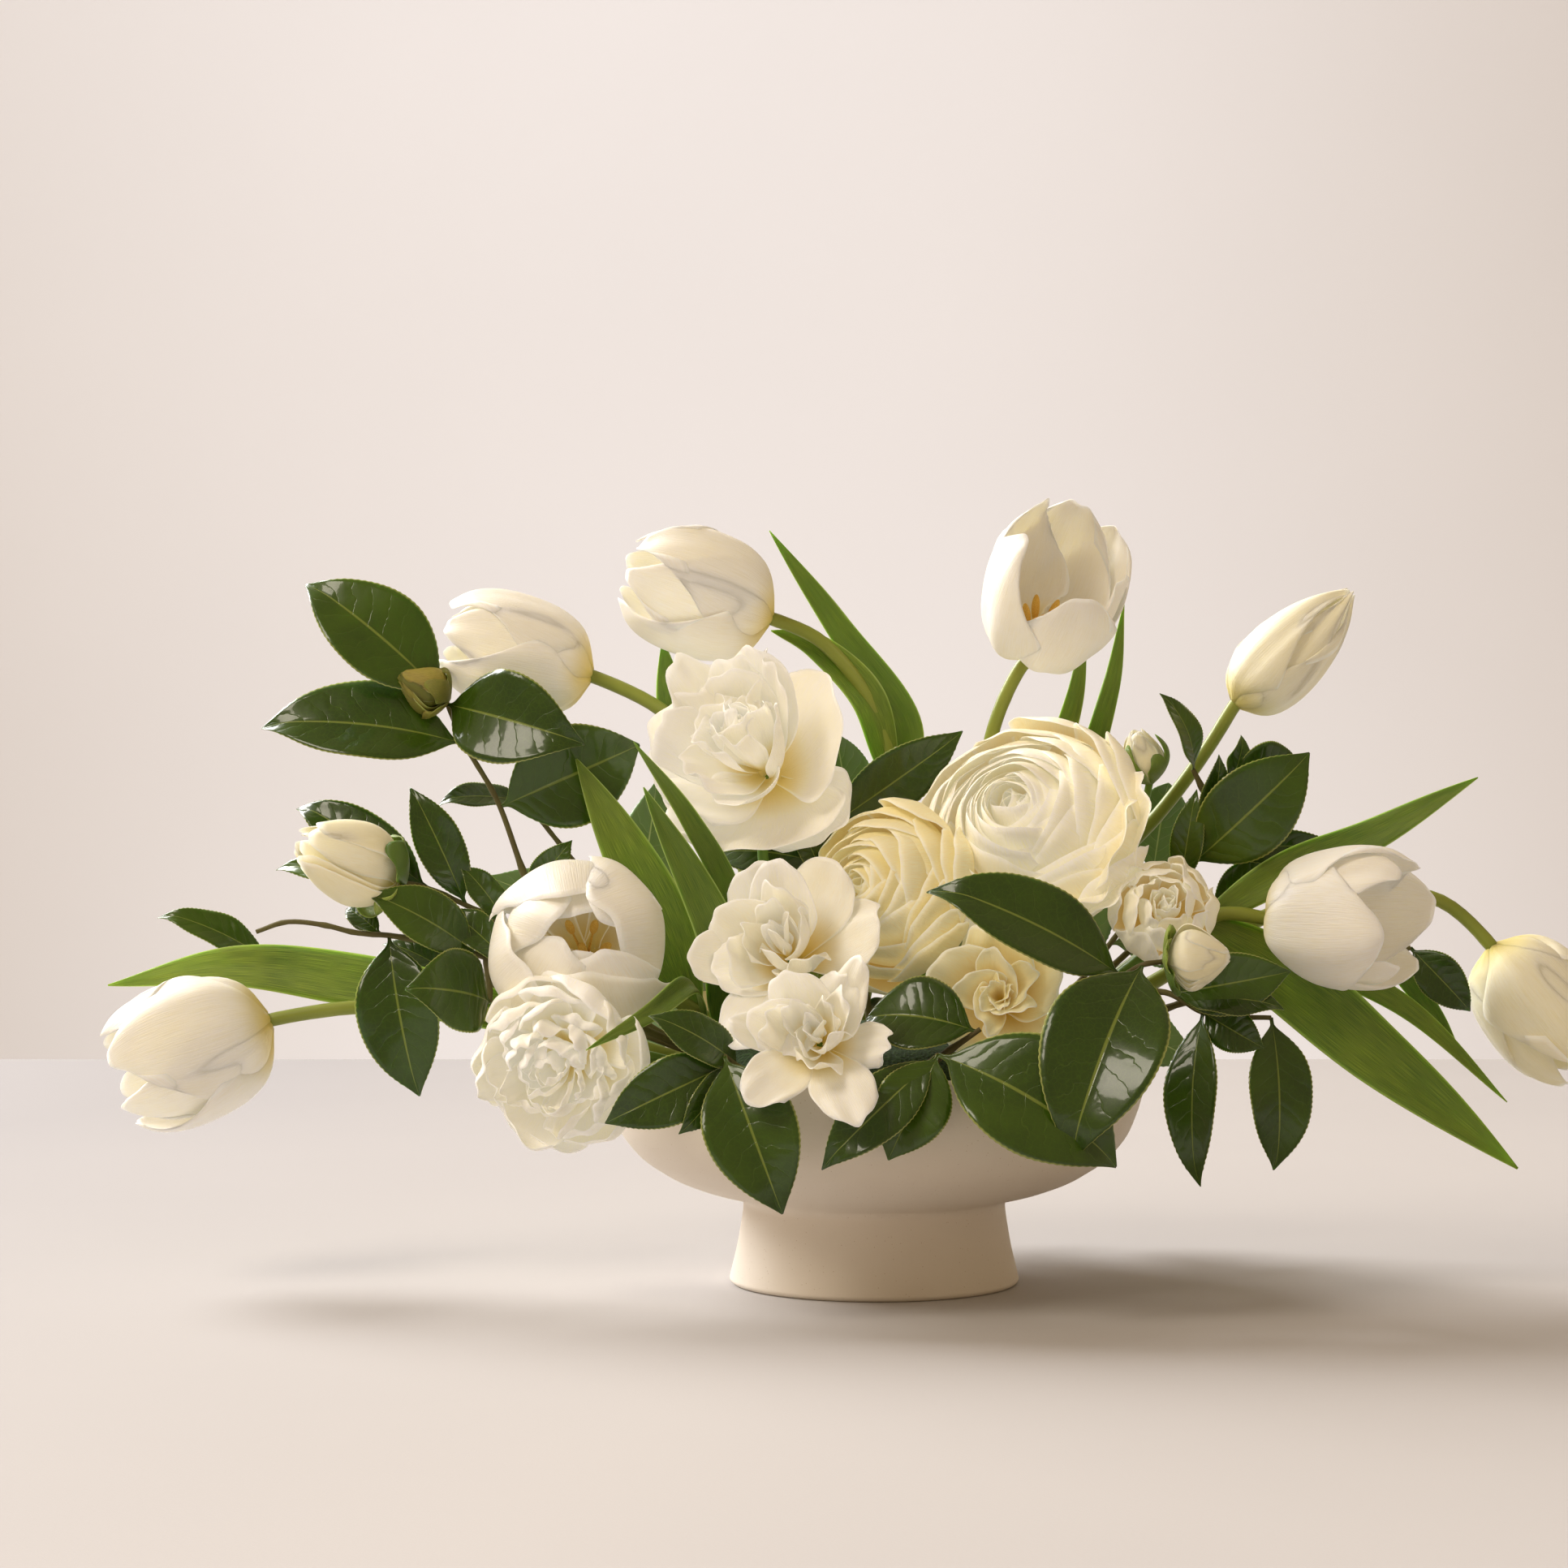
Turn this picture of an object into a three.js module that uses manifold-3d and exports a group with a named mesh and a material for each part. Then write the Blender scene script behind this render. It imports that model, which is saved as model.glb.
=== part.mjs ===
// Floral table centrepiece: white tulips, ranunculus, gardenias, a camellia, a peony, a spray rose
// and sprays of camellia leaves, standing in a block of floral foam in a footed ceramic bowl.
// Millimetres. The origin is the middle of the foot's flat underside, +X right, +Y back, +Z up.
import * as THREE from 'three';
import { ConvexGeometry } from 'three/addons/geometries/ConvexGeometry.js';
import { mergeVertices } from 'three/addons/utils/BufferGeometryUtils.js';
import Module from 'manifold-3d';

const wasm = await Module();
wasm.setup();

// Bowl: a solid splayed foot under a shallow dish.
const footRadius = 58.5;
const neckRadius = 52.5;
const footHeight = 34;
const rimRadius = 110;
const rimHeight = 90;
const wall = 6;
const bowlSides = 28;

// Foam: a low dome that fills the dish and stands a little above the rim.
const foamRadius = 82;
const foamShoulder = 88;
const foamTop = 106;
const foamSides = 16;

// Plants.
const tulipStemRadius = 3.2;
const flowerStemRadius = 2.4;
const twigRadius = 1.7;
const sideTwigRadius = 1.3;
const leafThickness = 1.4;
const leafRoot = 1.2;
const petalThickness = 1.2;
const calyxWall = 1;
const calyxRoom = 1;
const tulipStemSides = 6;
const twigSides = 5;
const budSides = 12;
const calyxSides = 8;
const gap = 0.4;
const smallestEdge = 0.05;
const weld = 0.002;

// A flower's place is given as it is seen from the front: [across, down, back]. Across and down
// are pixels of a square picture and back is millimetres behind the middle of the bowl.
const pictureMiddle = 966;
const pixelSize = 0.328;
const eyeDistance = 1400;
const eyeHeight = 201;
const eyeAcross = -36.4;

const ceramic = new THREE.MeshStandardMaterial({ color: 0xe6ded0, roughness: 0.75, metalness: 0 });
const foamGreen = new THREE.MeshStandardMaterial({ color: 0x3d5a32, roughness: 1, metalness: 0 });
const whitePetal = new THREE.MeshStandardMaterial({ color: 0xf7f3ea, roughness: 0.55, metalness: 0 });
const creamPetal = new THREE.MeshStandardMaterial({ color: 0xf4e9cb, roughness: 0.6, metalness: 0 });
const pollen = new THREE.MeshStandardMaterial({ color: 0xdba12c, roughness: 0.8, metalness: 0 });
const tulipGreen = new THREE.MeshStandardMaterial({ color: 0x6b9440, roughness: 0.5, metalness: 0 });
const camelliaGreen = new THREE.MeshStandardMaterial({ color: 0x24451c, roughness: 0.3, metalness: 0 });

// Tulips: the stem runs from its foot in the foam (millimetres) to the neck, and the head from the
// neck to the crown, the middle of its mouth. Each leaf has a width and a path.
const tulips = [
  {
    name: 'far_left', foot: [-52, 4, 80], stem: [[780, 1288, 0], [600, 1250, -5], [442, 1241, -8]],
    neck: [333, 1257, -10], crown: [143, 1326, -20], radius: 29, open: 0.35, turn: 20,
    leaves: [[22, [[700, 1268, 0], [442, 1210, 6], [290, 1193, 8], [133, 1214, 6]]]],
  },
  {
    name: 'upper_left', foot: [-34, 22, 70], stem: [[935, 1150, 24], [880, 950, 26], [815, 875, 22]],
    neck: [729, 833, 20], crown: [548, 788, 20], radius: 24, open: 0.1, turn: 75,
    leaves: [[15, [[896, 985, 26], [835, 893, 30], [816, 788, 26]]]],
  },
  {
    name: 'top_left', foot: [-12, 30, 70], stem: [[1085, 1100, 34], [1092, 910, 34], [1015, 793, 26]],
    neck: [950, 762, 22], crown: [775, 700, 14], radius: 26, open: 0.15, turn: 40,
    leaves: [
      [13, [[1098, 1000, 34], [1118, 900, 38], [1030, 770, 38], [948, 654, 36]]],
      [15, [[1096, 960, 34], [1068, 862, 30], [1004, 796, 32], [950, 777, 34]]],
    ],
  },
  {
    name: 'tall_open', foot: [16, 14, 66], stem: [[1190, 1100, 12], [1225, 895, 8], [1256, 825, 6]],
    neck: [1270, 808, 5], crown: [1322, 660, -34], radius: 29, open: 0.75, turn: 30,
    leaves: [
      [10, [[1193, 1080, 12], [1280, 980, 20], [1322, 870, 16], [1338, 765, 10]]],
      [10, [[1191, 1090, 12], [1315, 990, 26], [1368, 850, 18], [1385, 745, 12]]],
    ],
  },
  {
    name: 'pointed_bud', foot: [34, 24, 70], stem: [[1290, 1150, 26], [1430, 1000, 18], [1488, 922, 12]],
    neck: [1522, 868, 10], crown: [1664, 730, 6], radius: 18.5, open: -0.2, turn: 10,
    leaves: [],
  },
  {
    name: 'right', foot: [52, -6, 78], stem: [[1380, 1200, -12], [1500, 1127, -22]],
    neck: [1563, 1132, -25], crown: [1737, 1130, -55], radius: 28, open: 0.8, turn: 100,
    leaves: [
      [16, [[1490, 1132, -22], [1580, 1078, -13], [1690, 1030, -10], [1821, 958, -10]]],
      [29, [[1470, 1140, -20], [1580, 1208, -20], [1700, 1305, -28], [1870, 1440, -34]]],
      [11, [[1480, 1136, -20], [1620, 1186, -2], [1730, 1240, -10], [1857, 1358, -20]]],
    ],
  },
  {
    name: 'far_right', foot: [56, 14, 82], stem: [[1430, 1205, 18], [1610, 1110, 22], [1770, 1108, 16]],
    neck: [1838, 1166, 10], crown: [1950, 1314, 6], radius: 24, open: 0, turn: 50,
    leaves: [[10, [[1600, 1114, 22], [1700, 1170, 12], [1760, 1240, 6], [1800, 1300, 0]]]],
  },
  {
    name: 'open_left', foot: [-36, -14, 76], stem: [[870, 1255, -22], [790, 1212, -27]],
    neck: [722, 1185, -30], crown: [711, 1146, -79], radius: 37, open: 0.55, turn: 30,
    leaves: [
      [24, [[850, 1243, -23], [806, 1120, -16], [710, 935, -14]]],
      [17, [[905, 1268, -20], [886, 1160, -48], [793, 970, -46]]],
      [10, [[915, 1272, -20], [900, 1110, -30], [850, 1010, -36], [780, 913, -30]]],
      [9, [[868, 1255, -22], [851, 1215, -52], [800, 1250, -84], [722, 1294, -106]]],
    ],
  },
];

// Layers of petals in one kind of bloom. Base, belly and rim are [radius, height] as shares of the
// bloom's radius and height, half is half of a petal's width, and turn is where the first one is.
const ranunculusLayers = [
  { petals: 3, turn: 10, base: [0.1, 0.2], belly: [0.44, 0.6], rim: [0.2, 0.88], half: 0.34 },
  { petals: 5, turn: 40, base: [0.1, 0.16], belly: [0.7, 0.58], rim: [0.44, 0.99], half: 0.42 },
  { petals: 6, turn: 0, base: [0.1, 0.1], belly: [0.98, 0.5], rim: [0.7, 0.95], half: 0.5 },
];
const flaredLayer = {
  petals: 4, step: 50, turn: -118, base: [0.1, 0.04], belly: [0.95, 0.3], rim: [1.05, 0.68], half: 0.5,
};
const peonyLayers = [
  { petals: 4, turn: 30, base: [0.1, 0.2], belly: [0.3, 0.6], rim: [0.26, 1.04], half: 0.3 },
  { petals: 4, turn: 0, base: [0.1, 0.15], belly: [0.68, 0.6], rim: [0.6, 0.92], half: 0.48 },
  { petals: 6, turn: 20, base: [0.1, 0.08], belly: [0.98, 0.36], rim: [0.97, 0.66], half: 0.52 },
];
const camelliaLayers = [
  { petals: 3, turn: 0, base: [0.08, 0.2], belly: [0.2, 0.7], rim: [0.36, 1.08], half: 0.34 },
  { petals: 4, turn: 35, base: [0.08, 0.12], belly: [0.55, 0.5], rim: [0.66, 0.86], half: 0.44 },
  { petals: 6, turn: -90, base: [0.08, 0.04], belly: [0.72, 0.12], rim: [1.02, 0.52], half: 0.6 },
];
const gardeniaLayers = [
  { petals: 4, turn: 60, base: [0.08, 0.15], belly: [0.5, 0.55], rim: [0.3, 1.02], half: 0.34 },
  { petals: 3, turn: 10, base: [0.08, 0.1], belly: [0.6, 0.4], rim: [0.72, 0.82], half: 0.42 },
];
const lisianthusLayers = [
  { petals: 3, turn: 0, base: [0.1, 0.2], belly: [0.3, 0.6], rim: [0.36, 0.96], half: 0.34 },
  { petals: 5, turn: 30, base: [0.1, 0.08], belly: [0.62, 0.5], rim: [1, 0.82], half: 0.56 },
];
const roseLayers = [
  { petals: 3, turn: 0, base: [0.1, 0.2], belly: [0.42, 0.65], rim: [0.22, 1], half: 0.32 },
  { petals: 4, turn: 20, base: [0.1, 0.08], belly: [0.82, 0.5], rim: [0.58, 0.96], half: 0.56 },
  { petals: 5, turn: 50, base: [0.1, 0.03], belly: [0.98, 0.3], rim: [0.98, 0.74], half: 0.56 },
];

// Blooms, the foremost first. Loose petals are single ones that hang out of the bloom.
const blooms = [
  {
    name: 'gardenia_lower', layers: gardeniaLayers, petal: whitePetal,
    foot: [-8, -50, 80], stem: [[1012, 1310, -74]],
    neck: [1012, 1292, -90], crown: [1000, 1258, -122], radius: 25, turn: 0,
    loose: [
      { petals: 1, turn: 236, base: [0.1, 0.1], belly: [0.8, 0.3], rim: [1.45, 0.62], half: 0.62 },
      { petals: 1, turn: 306, base: [0.1, 0.1], belly: [0.9, 0.25], rim: [1.6, 0.52], half: 0.66 },
      { petals: 1, turn: 50, base: [0.1, 0.1], belly: [0.9, 0.3], rim: [1.25, 0.7], half: 0.62 },
    ],
  },
  {
    name: 'peony', layers: peonyLayers, petal: whitePetal,
    foot: [-50, -26, 82], stem: [[790, 1300, -36]],
    neck: [712, 1292, -60], crown: [668, 1324, -97], radius: 34, turn: 0, loose: [],
  },
  {
    name: 'gardenia_upper', layers: gardeniaLayers, petal: whitePetal,
    foot: [-12, -28, 70], stem: [[1000, 1250, -46]],
    neck: [978, 1190, -56], crown: [952, 1140, -90], radius: 30, turn: 40,
    loose: [
      { petals: 2, turn: 200, step: 48, base: [0.1, 0.05], belly: [0.9, 0.2], rim: [1.42, 0.55], half: 0.6 },
      { petals: 3, turn: -25, step: 58, base: [0.1, 0.05], belly: [0.85, 0.2], rim: [1.22, 0.5], half: 0.6 },
    ],
  },
  {
    name: 'lisianthus', layers: lisianthusLayers, petal: creamPetal,
    foot: [18, -34, 72], stem: [[1190, 1280, -44]],
    neck: [1236, 1240, -52], crown: [1228, 1220, -84], radius: 25, turn: 0, loose: [],
  },
  {
    name: 'spray_rose', layers: roseLayers, petal: creamPetal,
    foot: [40, -18, 74], stem: [[1350, 1225, -20], [1420, 1165, -28]],
    neck: [1430, 1137, -36], crown: [1438, 1108, -74], radius: 21.5, turn: 0, loose: [],
  },
  {
    name: 'ranunculus_large', layers: [...ranunculusLayers, flaredLayer], petal: whitePetal,
    foot: [20, -4, 66], stem: [[1225, 1200, -4], [1278, 1080, -4]],
    neck: [1283, 1035, -10], crown: [1243, 982, -62], radius: 45, turn: 0, loose: [],
  },
  {
    name: 'camellia_bloom', layers: camelliaLayers, petal: whitePetal,
    foot: [-12, 6, 66], stem: [[965, 1150, 0], [940, 1055, 2]],
    neck: [950, 962, 2], crown: [896, 880, -40], radius: 42, turn: 0, loose: [],
  },
  {
    name: 'ranunculus_side', layers: ranunculusLayers, petal: creamPetal,
    foot: [4, -14, 66], stem: [[1105, 1240, -18], [1140, 1150, -16]],
    neck: [1132, 1112, -20], crown: [1052, 1088, -60], radius: 34, turn: 20, loose: [],
  },
  {
    name: 'ranunculus_back', layers: ranunculusLayers.slice(1), petal: creamPetal,
    foot: [-12, 46, 74], stem: [[1000, 1260, 56]],
    neck: [978, 1215, 60], crown: [938, 1195, 106], radius: 36, turn: 0, loose: [],
  },
  {
    name: 'rose_back', layers: roseLayers.slice(1), petal: whitePetal,
    foot: [22, 40, 72], stem: [[1150, 1260, 54]],
    neck: [1155, 1205, 60], crown: [1192, 1180, 106], radius: 35, turn: 0, loose: [],
  },
];

// Buds: shut heads, with how far one petal laps the next. The green of the sepals belongs to the stem.
const buds = [
  { name: 'bud_round', neck: [1438, 1184, -92], crown: [1515, 1178, -98], radius: 12, lap: 0.14 },
  { name: 'bud_half_open', neck: [492, 1088, -28], crown: [368, 1038, -46], radius: 15, lap: 0.18 },
  { name: 'bud_upright', neck: [1417, 962, -2], crown: [1399, 901, -6], radius: 8, lap: 0.14 },
];

// Sprays of camellia: the first twig starts at the foot in the foam. A leaf is its base, its tip, its
// width, how far it arches and how far it rolls about its rib, in degrees.
const sprays = [
  {
    name: 'front_left', foot: [-34, -52, 86], twigs: [[[935, 1330, -84], [893, 1302, -104]]],
    leaves: [
      [[905, 1306, -100], [743, 1385, -110], 25, 5, -12], [[893, 1302, -104], [965, 1499, -122], 35, 6, 5],
      [[915, 1312, -96], [800, 1250, -112], 18, 5, 10], [[910, 1310, -98], [838, 1398, -116], 15, 3, -25],
    ],
  },
  {
    name: 'front_right', foot: [40, -42, 80],
    twigs: [[[1310, 1275, -66], [1372, 1215, -84], [1405, 1190, -94], [1438, 1184, -92]]],
    leaves: [
      [[1410, 1188, -94], [1316, 1430, -130], 46, 8, 8], [[1385, 1205, -88], [1145, 1088, -102], 34, 6, 14],
      [[1360, 1228, -80], [1318, 1318, -84], 14, 3, -20],
    ],
  },
  {
    name: 'front_centre', foot: [12, -58, 86],
    twigs: [[[1135, 1318, -90], [1156, 1300, -110]], [[1135, 1318, -90], [1208, 1268, -92]]],
    leaves: [
      [[1156, 1300, -110], [1380, 1438, -110], 46, 9, 10],
      [[1152, 1304, -108], [1010, 1440, -121], 23, 3, 0], [[1156, 1301, -110], [1094, 1430, -114], 28, 2, 0],
      [[1205, 1270, -92], [1062, 1255, -78], 34, 5, 20],
    ],
  },
  {
    name: 'right_low', foot: [56, -26, 86],
    twigs: [[[1350, 1255, -45], [1430, 1222, -58], [1490, 1250, -60], [1566, 1254, -58]]],
    leaves: [
      [[1440, 1225, -58], [1592, 1197, -70], 24, 4, 18], [[1455, 1232, -59], [1583, 1241, -74], 18, 3, -15],
      [[1485, 1248, -60], [1558, 1292, -70], 17, 3, 20], [[1480, 1246, -60], [1475, 1465, -74], 22, 7, 30],
      [[1566, 1254, -58], [1572, 1445, -64], 26, 6, -12],
    ],
  },
  {
    name: 'left_low', foot: [-58, -14, 88],
    twigs: [[[720, 1236, -26], [600, 1180, -30], [480, 1141, -24], [408, 1143, -22], [315, 1152, -18]],
      [[600, 1180, -30], [604, 1235, -32]]],
    leaves: [
      [[590, 1176, -30], [453, 1100, -46], 24, 4, 15], [[625, 1190, -30], [545, 1118, -24], 16, 3, 20],
      [[484, 1142, -24], [516, 1353, -30], 33, 6, 10], [[604, 1235, -32], [501, 1217, -62], 34, 5, 0],
      [[470, 1141, -24], [425, 1118, -10], 10, 2, 10],
    ],
  },
  {
    name: 'left_high', foot: [-54, -6, 86],
    twigs: [[[700, 1182, -12], [600, 1128, -15], [520, 1092, -20], [492, 1088, -28]]],
    leaves: [
      [[530, 1096, -19], [362, 986, -2], 24, 3, 12], [[575, 1115, -17], [505, 968, -18], 19, 4, 5],
      [[620, 1138, -14], [567, 1066, -20], 14, 3, 20], [[540, 1100, -19], [335, 1065, 8], 16, 3, 15],
      [[610, 1133, -14], [560, 1165, -8], 12, 3, 10],
    ],
  },
  {
    name: 'upper_left', foot: [-44, 14, 76],
    twigs: [[[730, 1215, 0], [660, 1110, -4], [612, 985, 0], [570, 912, 2], [548, 860, 4]]],
    leaves: [
      [[548, 860, 4], [375, 715, 10], 38, 6, 8], [[569, 915, 2], [320, 892, -4], 38, 6, 18],
      [[553, 872, 4], [718, 915, -16], 34, 7, 25], [[618, 1000, 0], [792, 916, 6], 41, 6, 20],
      [[652, 1092, -4], [705, 1035, -12], 13, 3, 15],
    ],
  },
  {
    name: 'right_high', foot: [46, 6, 76],
    twigs: [[[1340, 1220, 0], [1440, 1120, -4], [1470, 1060, -6], [1500, 1000, -6], [1516, 962, -6]],
      [[1497, 1005, -6], [1470, 948, -8]], [[1440, 1120, -4], [1510, 1120, -2]]],
    leaves: [
      [[1468, 1064, -6], [1616, 926, -16], 35, 7, 15], [[1516, 962, -6], [1602, 940, 2], 24, 4, 20],
      [[1470, 948, -8], [1430, 853, -16], 14, 5, 30], [[1514, 966, -6], [1532, 905, -8], 10, 2, 30],
      [[1484, 1030, -6], [1504, 930, -18], 12, 3, 10], [[1452, 1096, -5], [1474, 972, -14], 13, 3, -10],
      [[1478, 1046, -6], [1654, 1042, 8], 14, 3, 20], [[1490, 1120, -2], [1572, 1060, 2], 18, 3, 15],
    ],
  },
  {
    name: 'far_left', foot: [-60, 18, 86], twigs: [[[640, 1222, 22], [500, 1198, 28], [335, 1187, 26]]],
    leaves: [[[335, 1187, 26], [195, 1123, 14], 17, 4, 25], [[560, 1208, 26], [470, 1160, 34], 13, 3, 20]],
  },
  {
    name: 'far_right', foot: [62, 4, 88], twigs: [[[1430, 1245, 4], [1600, 1190, 6], [1738, 1168, 6]]],
    leaves: [[[1738, 1168, 6], [1813, 1247, 0], 18, 3, 15], [[1640, 1184, 6], [1700, 1140, 14], 14, 3, 20]],
  },
  {
    name: 'centre_back', foot: [2, 16, 66], twigs: [[[1060, 1190, 16], [1012, 1080, 14], [1022, 1018, 10]]],
    leaves: [
      [[1022, 1018, 10], [1189, 900, 2], 24, 5, 20], [[1016, 1050, 12], [1140, 908, 22], 19, 4, 10],
      [[1012, 1080, 14], [980, 1010, 8], 12, 3, 10],
    ],
  },
  {
    name: 'back_left', foot: [-34, 46, 82], twigs: [[[830, 1230, 76], [760, 1130, 84], [650, 990, 42]]],
    leaves: [
      [[650, 990, 42], [537, 987, 34], 15, 3, 30], [[760, 1130, 84], [600, 1080, 92], 29, 5, 180],
      [[780, 1160, 82], [810, 960, 92], 29, 6, 180], [[830, 1230, 76], [690, 1290, 104], 29, 6, 180],
      [[810, 1205, 78], [900, 1400, 126], 29, 6, 180],
    ],
  },
  {
    name: 'back_centre', foot: [4, 56, 82],
    twigs: [[[1065, 1240, 88], [1065, 1130, 100], [1060, 1060, 92]], [[1065, 1240, 88], [1072, 1262, 116]]],
    leaves: [
      [[1060, 1060, 92], [1030, 900, 64], 27, 4, 180], [[1062, 1100, 98], [1190, 980, 92], 29, 5, 180],
      [[1072, 1262, 116], [1010, 1440, 128], 29, 4, 180], [[1070, 1256, 108], [1200, 1410, 126], 29, 5, 180],
    ],
  },
  {
    name: 'back_right', foot: [36, 48, 82], twigs: [[[1290, 1250, 76], [1370, 1160, 80], [1420, 1080, 60]]],
    leaves: [
      [[1420, 1080, 60], [1440, 960, 40], 24, 4, 180], [[1370, 1160, 80], [1530, 1130, 80], 29, 5, 180],
      [[1340, 1195, 79], [1330, 1010, 88], 29, 6, 180], [[1290, 1250, 76], [1330, 1430, 118], 29, 6, 180],
      [[1320, 1215, 78], [1480, 1310, 96], 29, 5, 180],
    ],
  },
];

// Shares of a leaf's length, and of its half width there. Every second station of a large camellia
// leaf is a tooth of its sawn edge.
const largeLeafOutline = [
  [0, 0.05], [0.08, 0.06], [0.2, 0.62], [0.36, 0.95], [0.53, 1], [0.7, 0.8], [0.86, 0.42], [1, 0],
];
const smallLeafOutline = [[0, 0.08], [0.1, 0.1], [0.3, 0.86], [0.58, 0.98], [0.82, 0.52], [1, 0]];
const tulipLeafOutline = [[0, 0.4], [0.15, 0.8], [0.35, 1], [0.55, 0.94], [0.78, 0.62], [1, 0]];
const littleLeafOutline = [[0, 0.1], [0.12, 0.14], [0.4, 1], [0.75, 0.7], [1, 0]];
const largeLeafWidth = 30;
const littleLeafWidth = 16;
const toothDepth = 1.1;

// A tulip petal, by shares of its length: the head's radius when shut and when open, the height, and
// the petal's half width.
const shutRadius = [[0, 0.12], [0.2, 0.78], [0.5, 1], [0.8, 0.79], [1, 0.34]];
const openRadius = [[0, 0.12], [0.2, 0.74], [0.5, 1.02], [0.8, 1.08], [1, 1.02]];
const petalHeight = [[0, 0], [0.2, 0.12], [0.5, 0.5], [0.8, 0.85], [1, 1]];
const petalHalfAngle = [[0, 22], [0.2, 42], [0.5, 55], [0.8, 50], [1, 0]];
const tulipHeartHeight = 0.13;

// Half widths of a petal of any other bloom, along its length.
const layerHalfWidth = [[0, 0.1], [0.33, 0.62], [0.7, 1], [1, 0.55]];

function spot([across, down, back]) {
  const size = pixelSize * (eyeDistance + back) / eyeDistance;
  const x = eyeAcross + (across - pictureMiddle) * size;
  const z = eyeHeight - (down - pictureMiddle) * size;
  return new THREE.Vector3(x, back, z);
}

function mix(a, b, share) {
  return a + (b - a) * share;
}

function readOff(table, at) {
  const next = Math.max(1, table.findIndex(([place]) => place >= at));
  const [fromPlace, fromValue] = table[next - 1];
  const [toPlace, toValue] = table[next];
  return mix(fromValue, toValue, (at - fromPlace) / (toPlace - fromPlace));
}

// A closed mesh as a solid that can be joined and cut.
function solid(geometry) {
  const bare = new THREE.BufferGeometry();
  bare.setAttribute('position', geometry.getAttribute('position'));
  bare.setIndex(geometry.index);
  const merged = mergeVertices(bare, weld);
  const corners = [];
  for (let i = 0; i < merged.index.count; i += 3) {
    const [a, b, c] = [0, 1, 2].map((step) => merged.index.getX(i + step));
    if (a !== b && b !== c && c !== a) {
      corners.push(a, b, c);
    }
  }
  const vertProperties = new Float32Array(merged.getAttribute('position').array);
  const mesh = new wasm.Mesh({ numProp: 3, vertProperties, triVerts: new Uint32Array(corners) });
  return new wasm.Manifold(mesh);
}

function joined(solids) {
  return wasm.Manifold.union(solids);
}

// The main body of a cut solid, without its scraps.
function largest(body) {
  const bodies = solid(geometryOf(body.simplify(smallestEdge))).decompose();
  bodies.sort((a, b) => b.volume() - a.volume());
  return bodies[0];
}

function geometryOf(body) {
  const mesh = body.getMesh();
  const geometry = new THREE.BufferGeometry();
  geometry.setAttribute('position', new THREE.BufferAttribute(mesh.vertProperties, 3));
  geometry.setIndex(new THREE.BufferAttribute(mesh.triVerts, 1));
  geometry.computeVertexNormals();
  return geometry;
}

// A turned form about +Z from a profile of [radius, height] points.
function turned(profile, sides) {
  const points = profile.map(([radius, height]) => new THREE.Vector2(radius, height));
  const geometry = new THREE.LatheGeometry(points, sides);
  geometry.rotateX(Math.PI / 2);
  return geometry;
}

const route = (points) => new THREE.CatmullRomCurve3(points, false, 'centripetal');
const stepsAlong = (points) => points.length;

// The point of a stem, as it is built, that lies nearest to where something grows out of it.
function nearestOn(stems, point) {
  const found = stems.flatMap((stem) => {
    const joints = route(stem).getSpacedPoints(stepsAlong(stem));
    return joints.slice(1).map((joint, i) => {
      return new THREE.Line3(joints[i], joint).closestPointToPoint(point, true, new THREE.Vector3());
    });
  });
  return found.sort((a, b) => a.distanceTo(point) - b.distanceTo(point))[0];
}

// A round stem through the points. A grown one is the room that it needs in what it passes.
function tube(points, radius, sides, grow) {
  const wide = radius + grow;
  const corners = Array.from({ length: sides }, (_, i) => {
    const angle = 2 * Math.PI * i / sides;
    return new THREE.Vector2(Math.cos(angle), Math.sin(angle)).multiplyScalar(wide);
  });
  const path = route(points);
  const stalk = new THREE.ExtrudeGeometry(new THREE.Shape(corners), {
    steps: stepsAlong(points),
    bevelEnabled: false,
    extrudePath: path,
  });
  const position = stalk.getAttribute('position');
  for (const end of [0, 1]) {
    const centre = path.getPointAt(end);
    const outward = path.getTangentAt(end).multiplyScalar(grow * (end || -1));
    for (let i = 0; i < position.count; i += 1) {
      const corner = new THREE.Vector3().fromBufferAttribute(position, i);
      if (corner.distanceTo(centre) < wide * 1.01) {
        corner.add(outward);
        position.setXYZ(i, corner.x, corner.y, corner.z);
      }
    }
  }
  return solid(stalk);
}

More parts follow.
